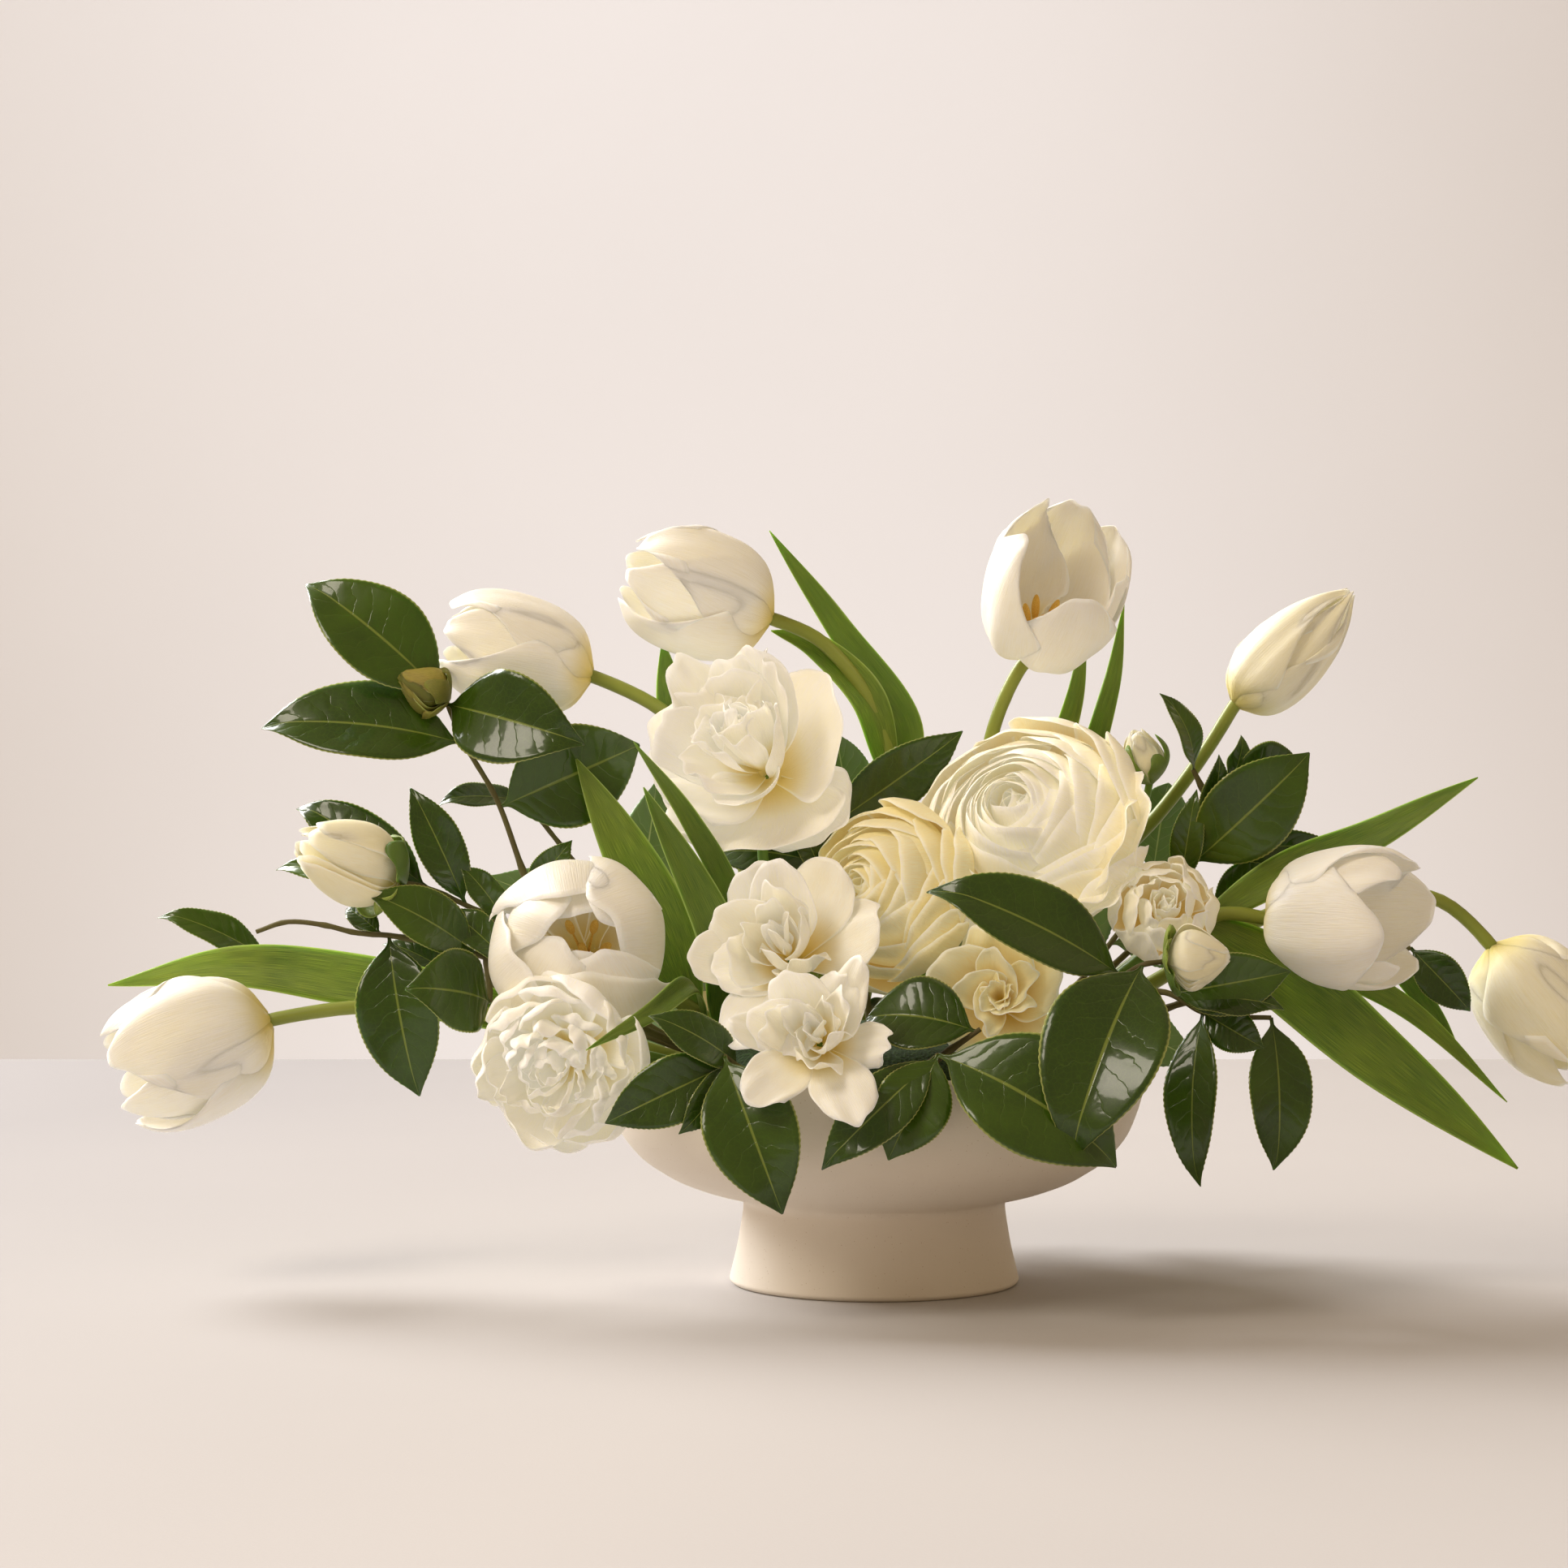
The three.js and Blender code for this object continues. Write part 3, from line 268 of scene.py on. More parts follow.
# Foam. A block of wet floral foam fills the dish and holds every stem. Its cut faces are dark green
# and full of fine open cells.
def grainy(name, patches, tones, grain, strength, depth, finish):
    """A skin whose two tones mix by patches and whose grain stands up by its depth. Patches and
    grain are each a kind of texture and its settings, and finish is what the shader is given."""
    material, tree = bare_material(name)
    place = add(tree, "ShaderNodeTexCoord").outputs["Object"]
    cloud, relief = [add(tree, kind, {"Vector": place, **said}) for kind, said in (patches, grain)]
    tone = add(tree, "ShaderNodeMix", (cloud, *map(linear, tones)), data_type="RGBA")
    return coated(material, tone, relief, strength, depth, finish)


def phenolic_foam():
    """Wet phenolic foam: matte, with open cells about 0.7 mm across, drawn twice as coarse."""
    cells = ("ShaderNodeTexVoronoi", {"Scale": 0.7 / mm})
    tones = ("#16240f", "#3f5a31")
    return grainy("wet_phenolic_foam", cells, tones, cells, 0.8, 0.6 * mm, {"Roughness": 0.95})


foam_corner_radius = 6
foam_sides = 64
foam_profile = [[0, 42.5], [73, 48], [78, 54], [82, 88], [68, 97], [0, 106]]
foam_profile = softened(foam_profile, foam_corner_radius)
foam = turned("foam_block", foam_profile, foam_sides, phenolic_foam())
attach(foam, "root")
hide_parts("floral_foam")


# Tulips. Eight cut white and cream tulips: a smooth juicy stem that bends with the weight of the
# head, long fleshy leaves that clasp it, and six waxy petals in two rings of three.
def spot(place):
    """The point seen at [across, down] pixels of the square picture, back millimetres deep."""
    across, down, back = place
    depth = back * mm
    size = pixel_size * (depth - eye[1]) / abs(eye[1])
    middle = picture_side / 2
    return np.array([eye[0] + (across - middle) * size, depth, eye[2] - (down - middle) * size])


def curve(table, at):
    """Reads a table of [place, value] as one smooth line."""
    places = np.array([row[0] for row in table], float)
    values = np.array([row[1] for row in table], float)
    slopes = np.gradient(values, places)
    at = np.clip(at, places[0], places[-1])
    k = np.clip(np.searchsorted(places, at) - 1, 0, len(places) - 2)
    span = places[k + 1] - places[k]
    t = (at - places[k]) / span
    rise = values[k + 1] - values[k]
    bend = (slopes[k] * (1 - t) - slopes[k + 1] * t) * span + rise * (2 * t - 1)
    return values[k] + t * rise + t * (1 - t) * bend


def route(points, count):
    """Evenly numbered points of a smooth line through the given ones."""
    points = np.array(points)
    steps = np.sqrt(np.linalg.norm(np.diff(points, axis=0), axis=1))
    places = np.concatenate([[0], np.cumsum(steps)])
    at = np.linspace(0, places[-1], count)
    return np.stack([curve(list(zip(places, axis)), at) for axis in points.T], axis=1)


def nearest(line, point):
    """The point of a line that lies nearest to where something grows out of it."""
    return line[np.argmin(np.linalg.norm(line - point, axis=1))]


def growth_tree(name, sockets):
    """A new tree of geometry nodes, and what it is given: sockets by their titles and kinds."""
    tree = bpy.data.node_groups.new(name, "GeometryNodeTree")
    for title, kind in {**sockets, "Material": "Material"}.items():
        tree.interface.new_socket(title, in_out="INPUT", socket_type="NodeSocket" + kind)
    tree.interface.new_socket("Grown", in_out="OUTPUT", socket_type="NodeSocketGeometry")
    return tree, add(tree, "NodeGroupInput").outputs


def end_growth(tree, geometry, material):
    """Makes what has grown one real smooth mesh of its material, and gives it out."""
    real = add(tree, "GeometryNodeRealizeInstances", {"Geometry": geometry})
    smooth = add(tree, "GeometryNodeSetShadeSmooth", {"Geometry": real})
    painted_mesh = add(tree, "GeometryNodeSetMaterial", {"Geometry": smooth, "Material": material})
    add(tree, "NodeGroupOutput", {"Grown": painted_mesh})


def stalk_nodes():
    """A tree that turns lines into round tapering stalks with soft knots along them."""
    sockets = {"Lines": "Geometry", "Radius": "Float", "Taper": "Float", "Knots": "Float"}
    tree, given = growth_tree("stalks", {**sockets, "Knot Spacing": "Float"})
    lines = add(tree, "GeometryNodeMeshToCurve", {"Mesh": given["Lines"]})
    along = add(tree, "GeometryNodeSplineParameter").outputs
    taper = add(
        tree, "ShaderNodeMapRange",
        {"Value": along["Factor"], "To Min": 1, "To Max": given["Taper"]},
    )
    rate = add(tree, "ShaderNodeMath", (1, given["Knot Spacing"]), operation="DIVIDE")
    knots = add(
        tree, "ShaderNodeTexNoise", {"W": along["Length"], "Scale": rate, "Detail": 1},
        noise_dimensions="1D",
    )
    swell = add(tree, "ShaderNodeMapRange", (knots, 0.5, 0.8, 0, given["Knots"]))
    swollen = add(tree, "ShaderNodeMath", (1, swell), operation="ADD")
    share = add(tree, "ShaderNodeMath", (taper, swollen), operation="MULTIPLY")
    round_line = add(
        tree, "GeometryNodeCurvePrimitiveCircle", {"Resolution": 14, "Radius": given["Radius"]},
    )
    skin = add(
        tree, "GeometryNodeCurveToMesh",
        {"Curve": lines, "Profile Curve": round_line, "Scale": share, "Fill Caps": True},
    )
    end_growth(tree, skin, given["Material"])
    return tree


def grown(name, lines, tree, inputs):
    """Runs a tree of nodes over lines of points and keeps the result as a plain mesh."""
    points = []
    edges = []
    for line in lines:
        edges += [(len(points) + k, len(points) + k + 1) for k in range(len(line) - 1)]
        points += [tuple(point) for point in line]
    piece, _ = piece_of(name, points, edges)
    nodes = piece.modifiers.new("growth", "NODES")
    nodes.node_group = tree
    for item in tree.interface.items_tree:
        if item.in_out == "INPUT" and item.name in inputs:
            nodes[item.identifier] = inputs[item.name]
    depsgraph = bpy.context.evaluated_depsgraph_get()
    mesh = bpy.data.meshes.new_from_object(piece.evaluated_get(depsgraph))
    mesh.name = name
    piece.modifiers.remove(nodes)
    piece.data = mesh
    return piece


class Sheets:
    """Thin closed sheets, such as petals or leaves, gathered into one mesh."""

    def __init__(self):
        self.points = []
        self.faces = []
        self.places = []
        self.tones = []
        self.sides = []
        self.total = 0

    def add(self, grid, thickness, tone):
        """A sheet about a grid of points that run along it by rows and across it by columns."""
        rows, columns = grid.shape[:2]
        normal = np.cross(np.gradient(grid, axis=1), np.gradient(grid, axis=0))
        normal /= np.linalg.norm(normal, axis=2, keepdims=True) + 1e-12
        along = np.linspace(0, 1, rows)[:, None] + np.zeros((1, columns))
        across = np.linspace(0, 1, columns)[None, :] + np.zeros((rows, 1))
        rim = np.minimum(np.minimum(across, 1 - across) * 2, 1 - along)
        body = 0.3 + 0.7 * np.clip(rim / 0.12, 0, 1)
        offset = normal * (thickness / 2 * body)[..., None]
        count = rows * columns
        index = np.arange(count).reshape(rows, columns)
        corners = [index[:-1, :-1], index[:-1, 1:], index[1:, 1:], index[1:, :-1]]
        top = np.stack(corners, axis=-1).reshape(-1, 4)
        under = top[:, ::-1] + count
        edge = np.concatenate([index[0], index[1:, -1], index[-1, -2::-1], index[-2:0:-1, 0]])
        after = np.roll(edge, -1)
        band = np.stack([after, edge, edge + count, after + count], axis=1)
        self.points += [(grid + offset).reshape(-1, 3), (grid - offset).reshape(-1, 3)]
        self.faces += [part + self.total for part in (top, under, band)]
        self.places += [np.stack([across, along], axis=-1).reshape(-1, 2)] * 2
        self.tones.append(np.full(2 * count, tone))
        self.sides += [np.ones(count), np.zeros(count)]
        self.total += 2 * count

    def piece(self, name, material):
        """One object of all the sheets, with a map of where each point lies on its sheet."""
        faces = np.concatenate(self.faces)
        piece, mesh = piece_of(name, np.concatenate(self.points).tolist(), faces=faces.tolist())
        mesh.shade_smooth()
        where = np.concatenate(self.places)[faces.ravel()]
        mesh.uv_layers.new(name="sheet").data.foreach_set("uv", where.ravel())
        for title, values in (("tone", self.tones), ("side", self.sides)):
            layer = mesh.attributes.new(title, "FLOAT", "POINT")
            layer.data.foreach_set("value", np.concatenate(values))
        mesh.materials.append(material)
        return piece


def stand(neck, crown):
    """Where a head stands: its neck, the way to its right, up and front, and its height."""
    start = spot(neck)
    axis = spot(crown) - start
    height = np.linalg.norm(axis)
    axis = axis / height
    up = np.array([0, 0, 1]) - axis[2] * axis
    up = up / np.linalg.norm(up)
    return start, np.stack([np.cross(up, axis), up, axis]), height


def petal(rng, profile, half, turn, size, cup, rounding, lap=0.0, curl=0.0, waves=0.0, frill=0.0,
          crease=0.0, pleats=0.0):
    """A petal that stands on its head's axis, as a grid of points of a size [rows, columns].

    The profile gives its distance out and its height along its length, half gives half of its
    width, and turn is its angle about the axis. Cup is how far it wraps the axis, lap how much one
    side stands out over the next petal, and the rest is in metres or in shares of its length.
    """
    rows, columns = size
    s = np.linspace(0, 1, rows)[:, None]
    v = np.linspace(-1, 1, columns)[None, :]
    ripple = 0
    for k in (1, 2, 3, 5, 7):
        ripple = ripple + rng.uniform(0.4, 1) / k**0.6 * np.sin(k * 1.7 * v + rng.uniform(0, 6.3))
    flutter = 0
    for k in (1, 2, 3, 4):
        flutter = flutter + rng.uniform(0.4, 1) / k**0.5 * np.sin(k * 2.3 * v + s + rng.uniform(0, 6.3))
    t = s * (1 - rounding * np.abs(v) ** 2.2 + frill * ripple)
    out, up = profile(t)
    next_out, next_up = profile(t + 0.01)
    slope = np.hypot(next_out - out, next_up - up) + 1e-9
    in_out = -(next_up - up) / slope
    in_up = (next_out - out) / slope
    width = half(s)
    bend = np.minimum(abs(cup) / np.maximum(out, 0.5 * mm), 1.5 / width) + 0.5
    angle = v * width * bend
    sideways = np.sin(angle) / bend
    lift = math.copysign(1, cup) * (1 - np.cos(angle)) / bend
    lift = lift - lap * v * width
    lift = lift + waves * s**1.6 * flutter + crease * np.exp(-((v / 0.12) ** 2)) * s * (1 - s)
    if pleats:
        folds = sum(np.sin(k * v + 2 * s + rng.uniform(0, 6.3)) for k in (4, 7, 11)) / 2
        lift = lift + pleats * folds * np.clip(s * 2.5, 0, 1) * (1 - 0.5 * s)
    lift = lift - curl * np.clip((s - 0.72) / 0.28, 0, 1) ** 2
    out = out + in_out * lift
    up = up + in_up * lift
    a = math.radians(turn)
    return np.stack(
        [
            out * math.cos(a) - sideways * math.sin(a), out * math.sin(a) + sideways * math.cos(a),
            up + 0 * sideways,
        ],
        axis=-1,
    )


def sheet_places(tree):
    """Where a point lies on its sheet: its map, how far along it is and how far from its middle."""
    where = add(tree, "ShaderNodeUVMap", uv_map="sheet")
    across, along = add(tree, "ShaderNodeSeparateXYZ", (where,)).outputs[:2]
    centred = add(tree, "ShaderNodeMath", (across, 0.5), operation="SUBTRACT")
    return where, along, add(tree, "ShaderNodeMath", (centred,), operation="ABSOLUTE")


def petal_flesh(name, body, shade, heart, glow=0.6, lit=0.03, streak=26, gloss=0.42,
                depth_of_light=0.9 * mm, reach=0.3):
    """Petal flesh: light goes into it and comes out warm, and a faint painted glow of its own colour
    stands for the daylight that comes through it. It deepens towards the heart, partly its own tint
    and partly painted shade in the depths of the flower, its thin rim is painted whiter and glows
    more, a painted rim light, and fine streaks run along it, about 1 mm apart. Clouds of tone are
    17 mm apart."""
    material, tree = bare_material(name)
    where, along, aside = sheet_places(tree)
    place = add(tree, "ShaderNodeTexCoord").outputs["Object"]
    tone = add(tree, "ShaderNodeAttribute", attribute_name="tone").outputs["Fac"]
    stretch = add(tree, "ShaderNodeMapping", {"Vector": where, "Scale": (streak, 1.3, 1)})
    veins = add(tree, "ShaderNodeTexNoise", {"Vector": stretch, "Detail": 3})
    cloud = add(tree, "ShaderNodeTexNoise", {"Vector": place, "Scale": 0.06 / mm, "Detail": 2})
    patch = add(tree, "ShaderNodeMath", (cloud, tone), operation="MULTIPLY")
    skin = add(tree, "ShaderNodeMix", (patch, linear(body), linear(shade)), data_type="RGBA")
    streaks = add(tree, "ShaderNodeMapRange", (veins, 0.44, 0.7, 0, 0.45))
    streaked = add(tree, "ShaderNodeMix", (streaks, skin, linear(shade)), data_type="RGBA")
    # Towards the base the heart colour takes over: partly the petal's own tint, partly painted shade in the
    # depths of the flower.
    depth = add(tree, "ShaderNodeMapRange", (along, reach, 0), interpolation_type="SMOOTHSTEP")
    colour = add(tree, "ShaderNodeMix", (depth, streaked, linear(heart)), data_type="RGBA")
    # Painted rim light: the thin rim of each petal is mixed towards white, and it glows more below.
    outward = add(tree, "ShaderNodeMath", (along, 0.5), operation="SUBTRACT")
    furthest = add(tree, "ShaderNodeMath", (aside, outward), operation="MAXIMUM")
    rim = add(
        tree, "ShaderNodeMapRange", (furthest, 0.45, 0.5, 0, 0.5), interpolation_type="SMOOTHSTEP",
    )
    colour_with_painted_rim_light = add(tree, "ShaderNodeMix", (rim, colour, linear("#fffcf2")), data_type="RGBA")
    # Painted glow: the flesh emits its own colour, faintly all over and more at its rim, for daylight that
    # comes through it.
    painted_glow_strength = add(tree, "ShaderNodeMapRange", {"Value": rim, "To Min": lit, "To Max": lit + 0.1})
    finish = {
        "Roughness": gloss, "IOR": 1.4, "Subsurface Weight": glow,
        "Subsurface Radius": (1.0, 0.95, 0.72), "Subsurface Scale": depth_of_light,
        "Emission Color": colour_with_painted_rim_light, "Emission Strength": painted_glow_strength,
    }
    return coated(material, colour_with_painted_rim_light, veins, 0.5, 0.5 * mm, finish)


def juicy_green(name, light, dark, gloss=0.4):
    """A tulip leaf, a sepal or the scale of a bud: waxy, with fine parallel streaks about 1 mm
    apart, patches about 30 mm apart and a paler rim."""
    material, tree = bare_material(name)
    where, _, aside = sheet_places(tree)
    place = add(tree, "ShaderNodeTexCoord").outputs["Object"]
    tone = add(tree, "ShaderNodeAttribute", attribute_name="tone").outputs["Fac"]
    stretch = add(tree, "ShaderNodeMapping", {"Vector": where, "Scale": (24, 2.2, 1)})
    veins = add(tree, "ShaderNodeTexNoise", {"Vector": stretch, "Detail": 4})
    patches = add(tree, "ShaderNodeTexNoise", {"Vector": place, "Scale": 0.035 / mm, "Detail": 2})
    streaks = add(tree, "ShaderNodeMapRange", (veins, 0.36, 0.66))
    mixed = add(tree, "ShaderNodeMath", (streaks, patches), operation="ADD")
    lit = add(tree, "ShaderNodeMath", (mixed, tone), operation="MULTIPLY")
    green = add(tree, "ShaderNodeMix", (lit, linear(dark), linear(light)), data_type="RGBA")
    rim = add(tree, "ShaderNodeMapRange", (aside, 0.455, 0.5, 0, 0.75))
    colour = add(tree, "ShaderNodeMix", (rim, green, linear("#b9cf7a")), data_type="RGBA")
    finish = {
        "Roughness": gloss, "IOR": 1.42, "Subsurface Weight": 0.45,
        "Subsurface Radius": (0.6, 1.0, 0.2), "Subsurface Scale": 2.5 * mm,
    }
    return coated(material, colour, veins, 0.4, 0.4 * mm, finish)


def fleshy_stem(name, tones):
    """The skin of a round stem: waxy, with a slow change of green over 36 mm and a fine grain."""
    patches = ("ShaderNodeTexNoise", {"Scale": 0.028 / mm, "Detail": 2})
    grain = ("ShaderNodeTexNoise", {"Scale": 0.9 / mm, "Detail": 2})
    finish = {
        "Roughness": 0.38, "IOR": 1.42, "Subsurface Weight": 0.15,
        "Subsurface Radius": (0.6, 1.0, 0.2), "Subsurface Scale": 2 * mm,
    }
    return grainy(name, patches, tones, grain, 0.2, 0.2 * mm, finish)


# A place is [across, down] in the picture and how far back it lies, as spot takes it. A foot is in
# millimetres from the middle of the bowl, open says how far a head has opened, and a leaf is its
# width in millimetres and the way of its midrib.
tulips = [
    {
        "name": "far_left", "foot": [-52, 4, 80],
        "stem": [[780, 1288, 0], [600, 1250, -5], [442, 1241, -8]], "neck": [333, 1257, -10],
        "crown": [143, 1326, -20], "radius": 29, "open": 0.35, "turn": 20,
        "leaves": [[22, [[700, 1268, 0], [442, 1210, 6], [290, 1193, 8], [133, 1214, 6]]]],
    },
    {
        "name": "upper_left", "foot": [-34, 22, 70],
        "stem": [[935, 1150, 24], [880, 950, 26], [815, 875, 22]], "neck": [729, 833, 20],
        "crown": [548, 788, 20], "radius": 24, "open": 0.1, "turn": 75,
        "leaves": [[15, [[896, 985, 26], [835, 893, 30], [816, 788, 26]]]],
    },
    {
        "name": "top_left", "foot": [-12, 30, 70],
        "stem": [[1085, 1100, 34], [1092, 910, 34], [1015, 793, 26]], "neck": [950, 762, 22],
        "crown": [775, 700, 14], "radius": 26, "open": 0.15, "turn": 40,
        "leaves": [
            [13, [[1098, 1000, 34], [1118, 900, 38], [1030, 770, 38], [948, 654, 36]]],
            [15, [[1096, 960, 34], [1068, 862, 30], [1004, 796, 32], [950, 777, 34]]],
        ],
    },
    {
        "name": "tall_open", "foot": [16, 14, 66],
        "stem": [[1190, 1100, 12], [1225, 895, 8], [1256, 825, 6]], "neck": [1270, 808, 5],
        "crown": [1322, 660, -34], "radius": 29, "open": 0.75, "turn": 30,
        "leaves": [
            [10, [[1193, 1080, 12], [1280, 980, 20], [1322, 870, 16], [1338, 765, 10]]],
            [10, [[1191, 1090, 12], [1315, 990, 26], [1368, 850, 18], [1385, 745, 12]]],
        ],
    },
    {
        "name": "pointed_bud", "foot": [34, 24, 70],
        "stem": [[1290, 1150, 26], [1430, 1000, 18], [1488, 922, 12]], "neck": [1522, 868, 10],
        "crown": [1664, 730, 6], "radius": 18.5, "open": -0.2, "turn": 10, "leaves": [],
    },
    {
        "name": "right", "foot": [52, -6, 78], "stem": [[1380, 1200, -12], [1500, 1127, -22]],
        "neck": [1563, 1132, -25], "crown": [1737, 1130, -55], "radius": 28, "open": 0.8, "turn": 100,
        "leaves": [
            [16, [[1490, 1132, -22], [1580, 1078, -13], [1690, 1030, -10], [1821, 958, -10]]],
            [29, [[1470, 1140, -20], [1580, 1208, -20], [1700, 1305, -28], [1870, 1440, -34]]],
            [11, [[1480, 1136, -20], [1620, 1186, -2], [1730, 1240, -10], [1857, 1358, -20]]],
        ],
    },
    {
        "name": "far_right", "foot": [56, 14, 82],
        "stem": [[1430, 1205, 18], [1610, 1110, 22], [1770, 1108, 16]], "neck": [1838, 1166, 10],
        "crown": [1950, 1314, 6], "radius": 24, "open": 0, "turn": 50,
        "leaves": [[10, [[1600, 1114, 22], [1700, 1170, 12], [1760, 1240, 6], [1800, 1300, 0]]]],
    },
    {
        "name": "open_left", "foot": [-36, -14, 76], "stem": [[870, 1255, -22], [790, 1212, -27]],
        "neck": [722, 1185, -30], "crown": [711, 1146, -79], "radius": 39, "turn": 0,
        "leaves": [
            [24, [[850, 1243, -23], [806, 1120, -16], [710, 935, -14]]],
            [17, [[905, 1268, -20], [886, 1160, -48], [793, 970, -46]]],
            [10, [[915, 1272, -20], [900, 1110, -30], [850, 1010, -36], [780, 913, -30]]],
            [9, [[868, 1255, -22], [851, 1215, -52], [800, 1250, -84], [722, 1294, -106]]],
        ],
    },
]

tulip_stem_radius = 3.2 * mm
tulip_stem_grip = 1.5 * mm
tulip_stem_points = 40
tulip_leaf_points = 44
tulip_petal_thickness = 0.7 * mm
tulip_leaf_thickness = 0.9 * mm
shut_radius = [
    [0, 0.12], [0.08, 0.42], [0.2, 0.72], [0.34, 0.93], [0.5, 1.0], [0.75, 0.9], [0.92, 0.66], [1, 0.5],
    [1.2, 0.14],
]
open_radius = [[0, 0.12], [0.08, 0.38], [0.2, 0.66], [0.5, 0.98], [0.8, 1.04], [1, 0.97], [1.2, 0.9]]
petal_height = [[0, 0], [0.2, 0.12], [0.5, 0.5], [0.8, 0.85], [1, 1], [1.2, 1.14]]
petal_half_angle = [[0, 58], [0.15, 63], [0.5, 66], [0.75, 60], [0.92, 48], [1, 36]]
tulip_leaf_outline = [
    [0, 0.4], [0.15, 0.8], [0.35, 1], [0.55, 0.94], [0.78, 0.62], [0.93, 0.24], [1, 0.03],
]

# Each row is a petal of an open head: its angle, its length, how far it opens, its width and
# whether it belongs to the inner ring. A head that isn't here has its petals evenly round it.
petal_rows = {
    "tall_open": [
        [272, 0.78, 0.6, 0.95, 0], [186, 0.98, 0.5, 0.95, 0], [14, 0.96, 0.7, 0.85, 0],
        [318, 0.8, 0.6, 0.7, 1], [72, 1.1, 0.6, 1.0, 1], [126, 1.08, 0.55, 0.95, 1],
    ],
    "right": [
        [190, 0.95, 0.72, 1.15, 0], [300, 1.0, 0.7, 1.1, 0], [70, 1.05, 0.75, 1.15, 0],
        [245, 0.9, 0.6, 0.95, 1], [5, 1.02, 0.85, 1.05, 1], [130, 0.97, 0.65, 1.05, 1],
    ],
}


def tulip_head(row, rng):
    """Six petals on a tulip's neck, in two rings that lap each other."""
    start, axes, height = stand(row["neck"], row["crown"])
    radius = row["radius"] * mm
    point = max(0, -4 * row["open"])
    plain = [
        [row["turn"] + 60 * k, 1 - 0.03 * (k % 2), max(0, row["open"]), 1, k % 2] for k in range(6)
    ]
    head = Sheets()
    for angle, length, opening, broad, inner in petal_rows.get(row["name"], plain):
        give = rng.uniform(-0.05, 0.05)

        def profile(t, length=length, opening=opening, inner=inner, give=give):
            t = t * length
            share = curve(shut_radius, t) * (1 - opening) + curve(open_radius, t) * opening
            drawn_in = 1 - (0.12 * inner * (1 - opening) + point) * np.clip(t, 0, 1.1) ** 2.6
            out = radius * (share + give * t) * (1 - 0.08 * inner * np.clip(t * 5, 0, 1)) * drawn_in
            return out, height * (curve(petal_height, t) + 0.03 * inner * t)

        def half(s, profile=profile, broad=broad):
            return broad * np.radians(curve(petal_half_angle, s)) * profile(s)[0] + 1.2 * mm

        grid = petal(
            rng, profile, half, angle + rng.uniform(-5, 5), cup=1.0, lap=0.06, rounding=0.36,
            curl=rng.uniform(-1.5, 0.8) * mm, waves=0.7 * mm, frill=0.018,
            crease=rng.uniform(0, 1.6) * mm, pleats=1.0 * mm, size=(25, 31),
        )
        head.add(grid @ axes + start, tulip_petal_thickness, rng.uniform(0.1, 0.7))
    return head


def facing(lengthwise, roll):
    """The way a leaf faces: to the front and a little up, rolled about its length in degrees."""
    axis = lengthwise / np.linalg.norm(lengthwise)
    front = np.array([0, -1, 0.35])
    face = front - front.dot(axis) * axis
    face /= np.linalg.norm(face)
    a = math.radians(roll)
    return face * math.cos(a) + np.cross(axis, face) * math.sin(a)


def beside(rib, face):
    """The normals and the sides of a leaf's midrib, from the way that the leaf faces."""
    tangent = np.gradient(rib, axis=0)
    tangent /= np.linalg.norm(tangent, axis=1, keepdims=True)
    normal = face - (tangent @ face)[:, None] * tangent
    normal /= np.linalg.norm(normal, axis=1, keepdims=True)
    return normal, np.cross(tangent, normal)


def strap(rib, width, rng, fold, waves):
    """A tulip's leaf along a rib whose halves fold up from it, as a grid of points."""
    s = np.linspace(0, 1, len(rib))[:, None, None]
    v = np.linspace(-1, 1, 9)[None, :, None]
    normal, side = beside(rib, facing(rib[-1] - rib[0], 0))
    half = curve(tulip_leaf_outline, s) * width / 2
    sway = waves * np.sin(s * rng.uniform(9, 13) + rng.uniform(0, 6)) * v**2
    lift = fold * np.sqrt(v**2 + 0.02) * half + sway * half / (width / 2)
    return rib[:, None] + side[:, None] * v * half + normal[:, None] * lift


tulip_petals = petal_flesh(
    "tulip_petal_flesh", "#f9f5ec", "#f1e8cd", "#e6cd74", lit=0.065, depth_of_light=1.5 * mm,
)
cream_tulip_petals = petal_flesh(
    "cream_tulip_petal_flesh", "#fbf4dc", "#f0e3b4", "#d9c978", lit=0.05, depth_of_light=1.5 * mm,
)
cream_tulips = ("pointed_bud", "far_right")
tulip_leaf_green = juicy_green("tulip_leaf_flesh", "#98ab3e", "#33571a")
tulip_stem_green = fleshy_stem("tulip_stem_skin", ("#a5ab4c", "#6d8030"))
stalk_tree = stalk_nodes()
knot_spacing = 9 * mm


def stalk(name, lines, radius, material, taper, knots):
    """Round stalks along lines of points. A taper is the share of the radius that is left at the
    end, and knots swell it here and there by a share of it."""
    inputs = {"Radius": radius, "Taper": taper, "Knots": knots, "Knot Spacing": knot_spacing}
    piece = grown(name, lines, stalk_tree, {**inputs, "Material": material})
    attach(piece, "root")
    return piece


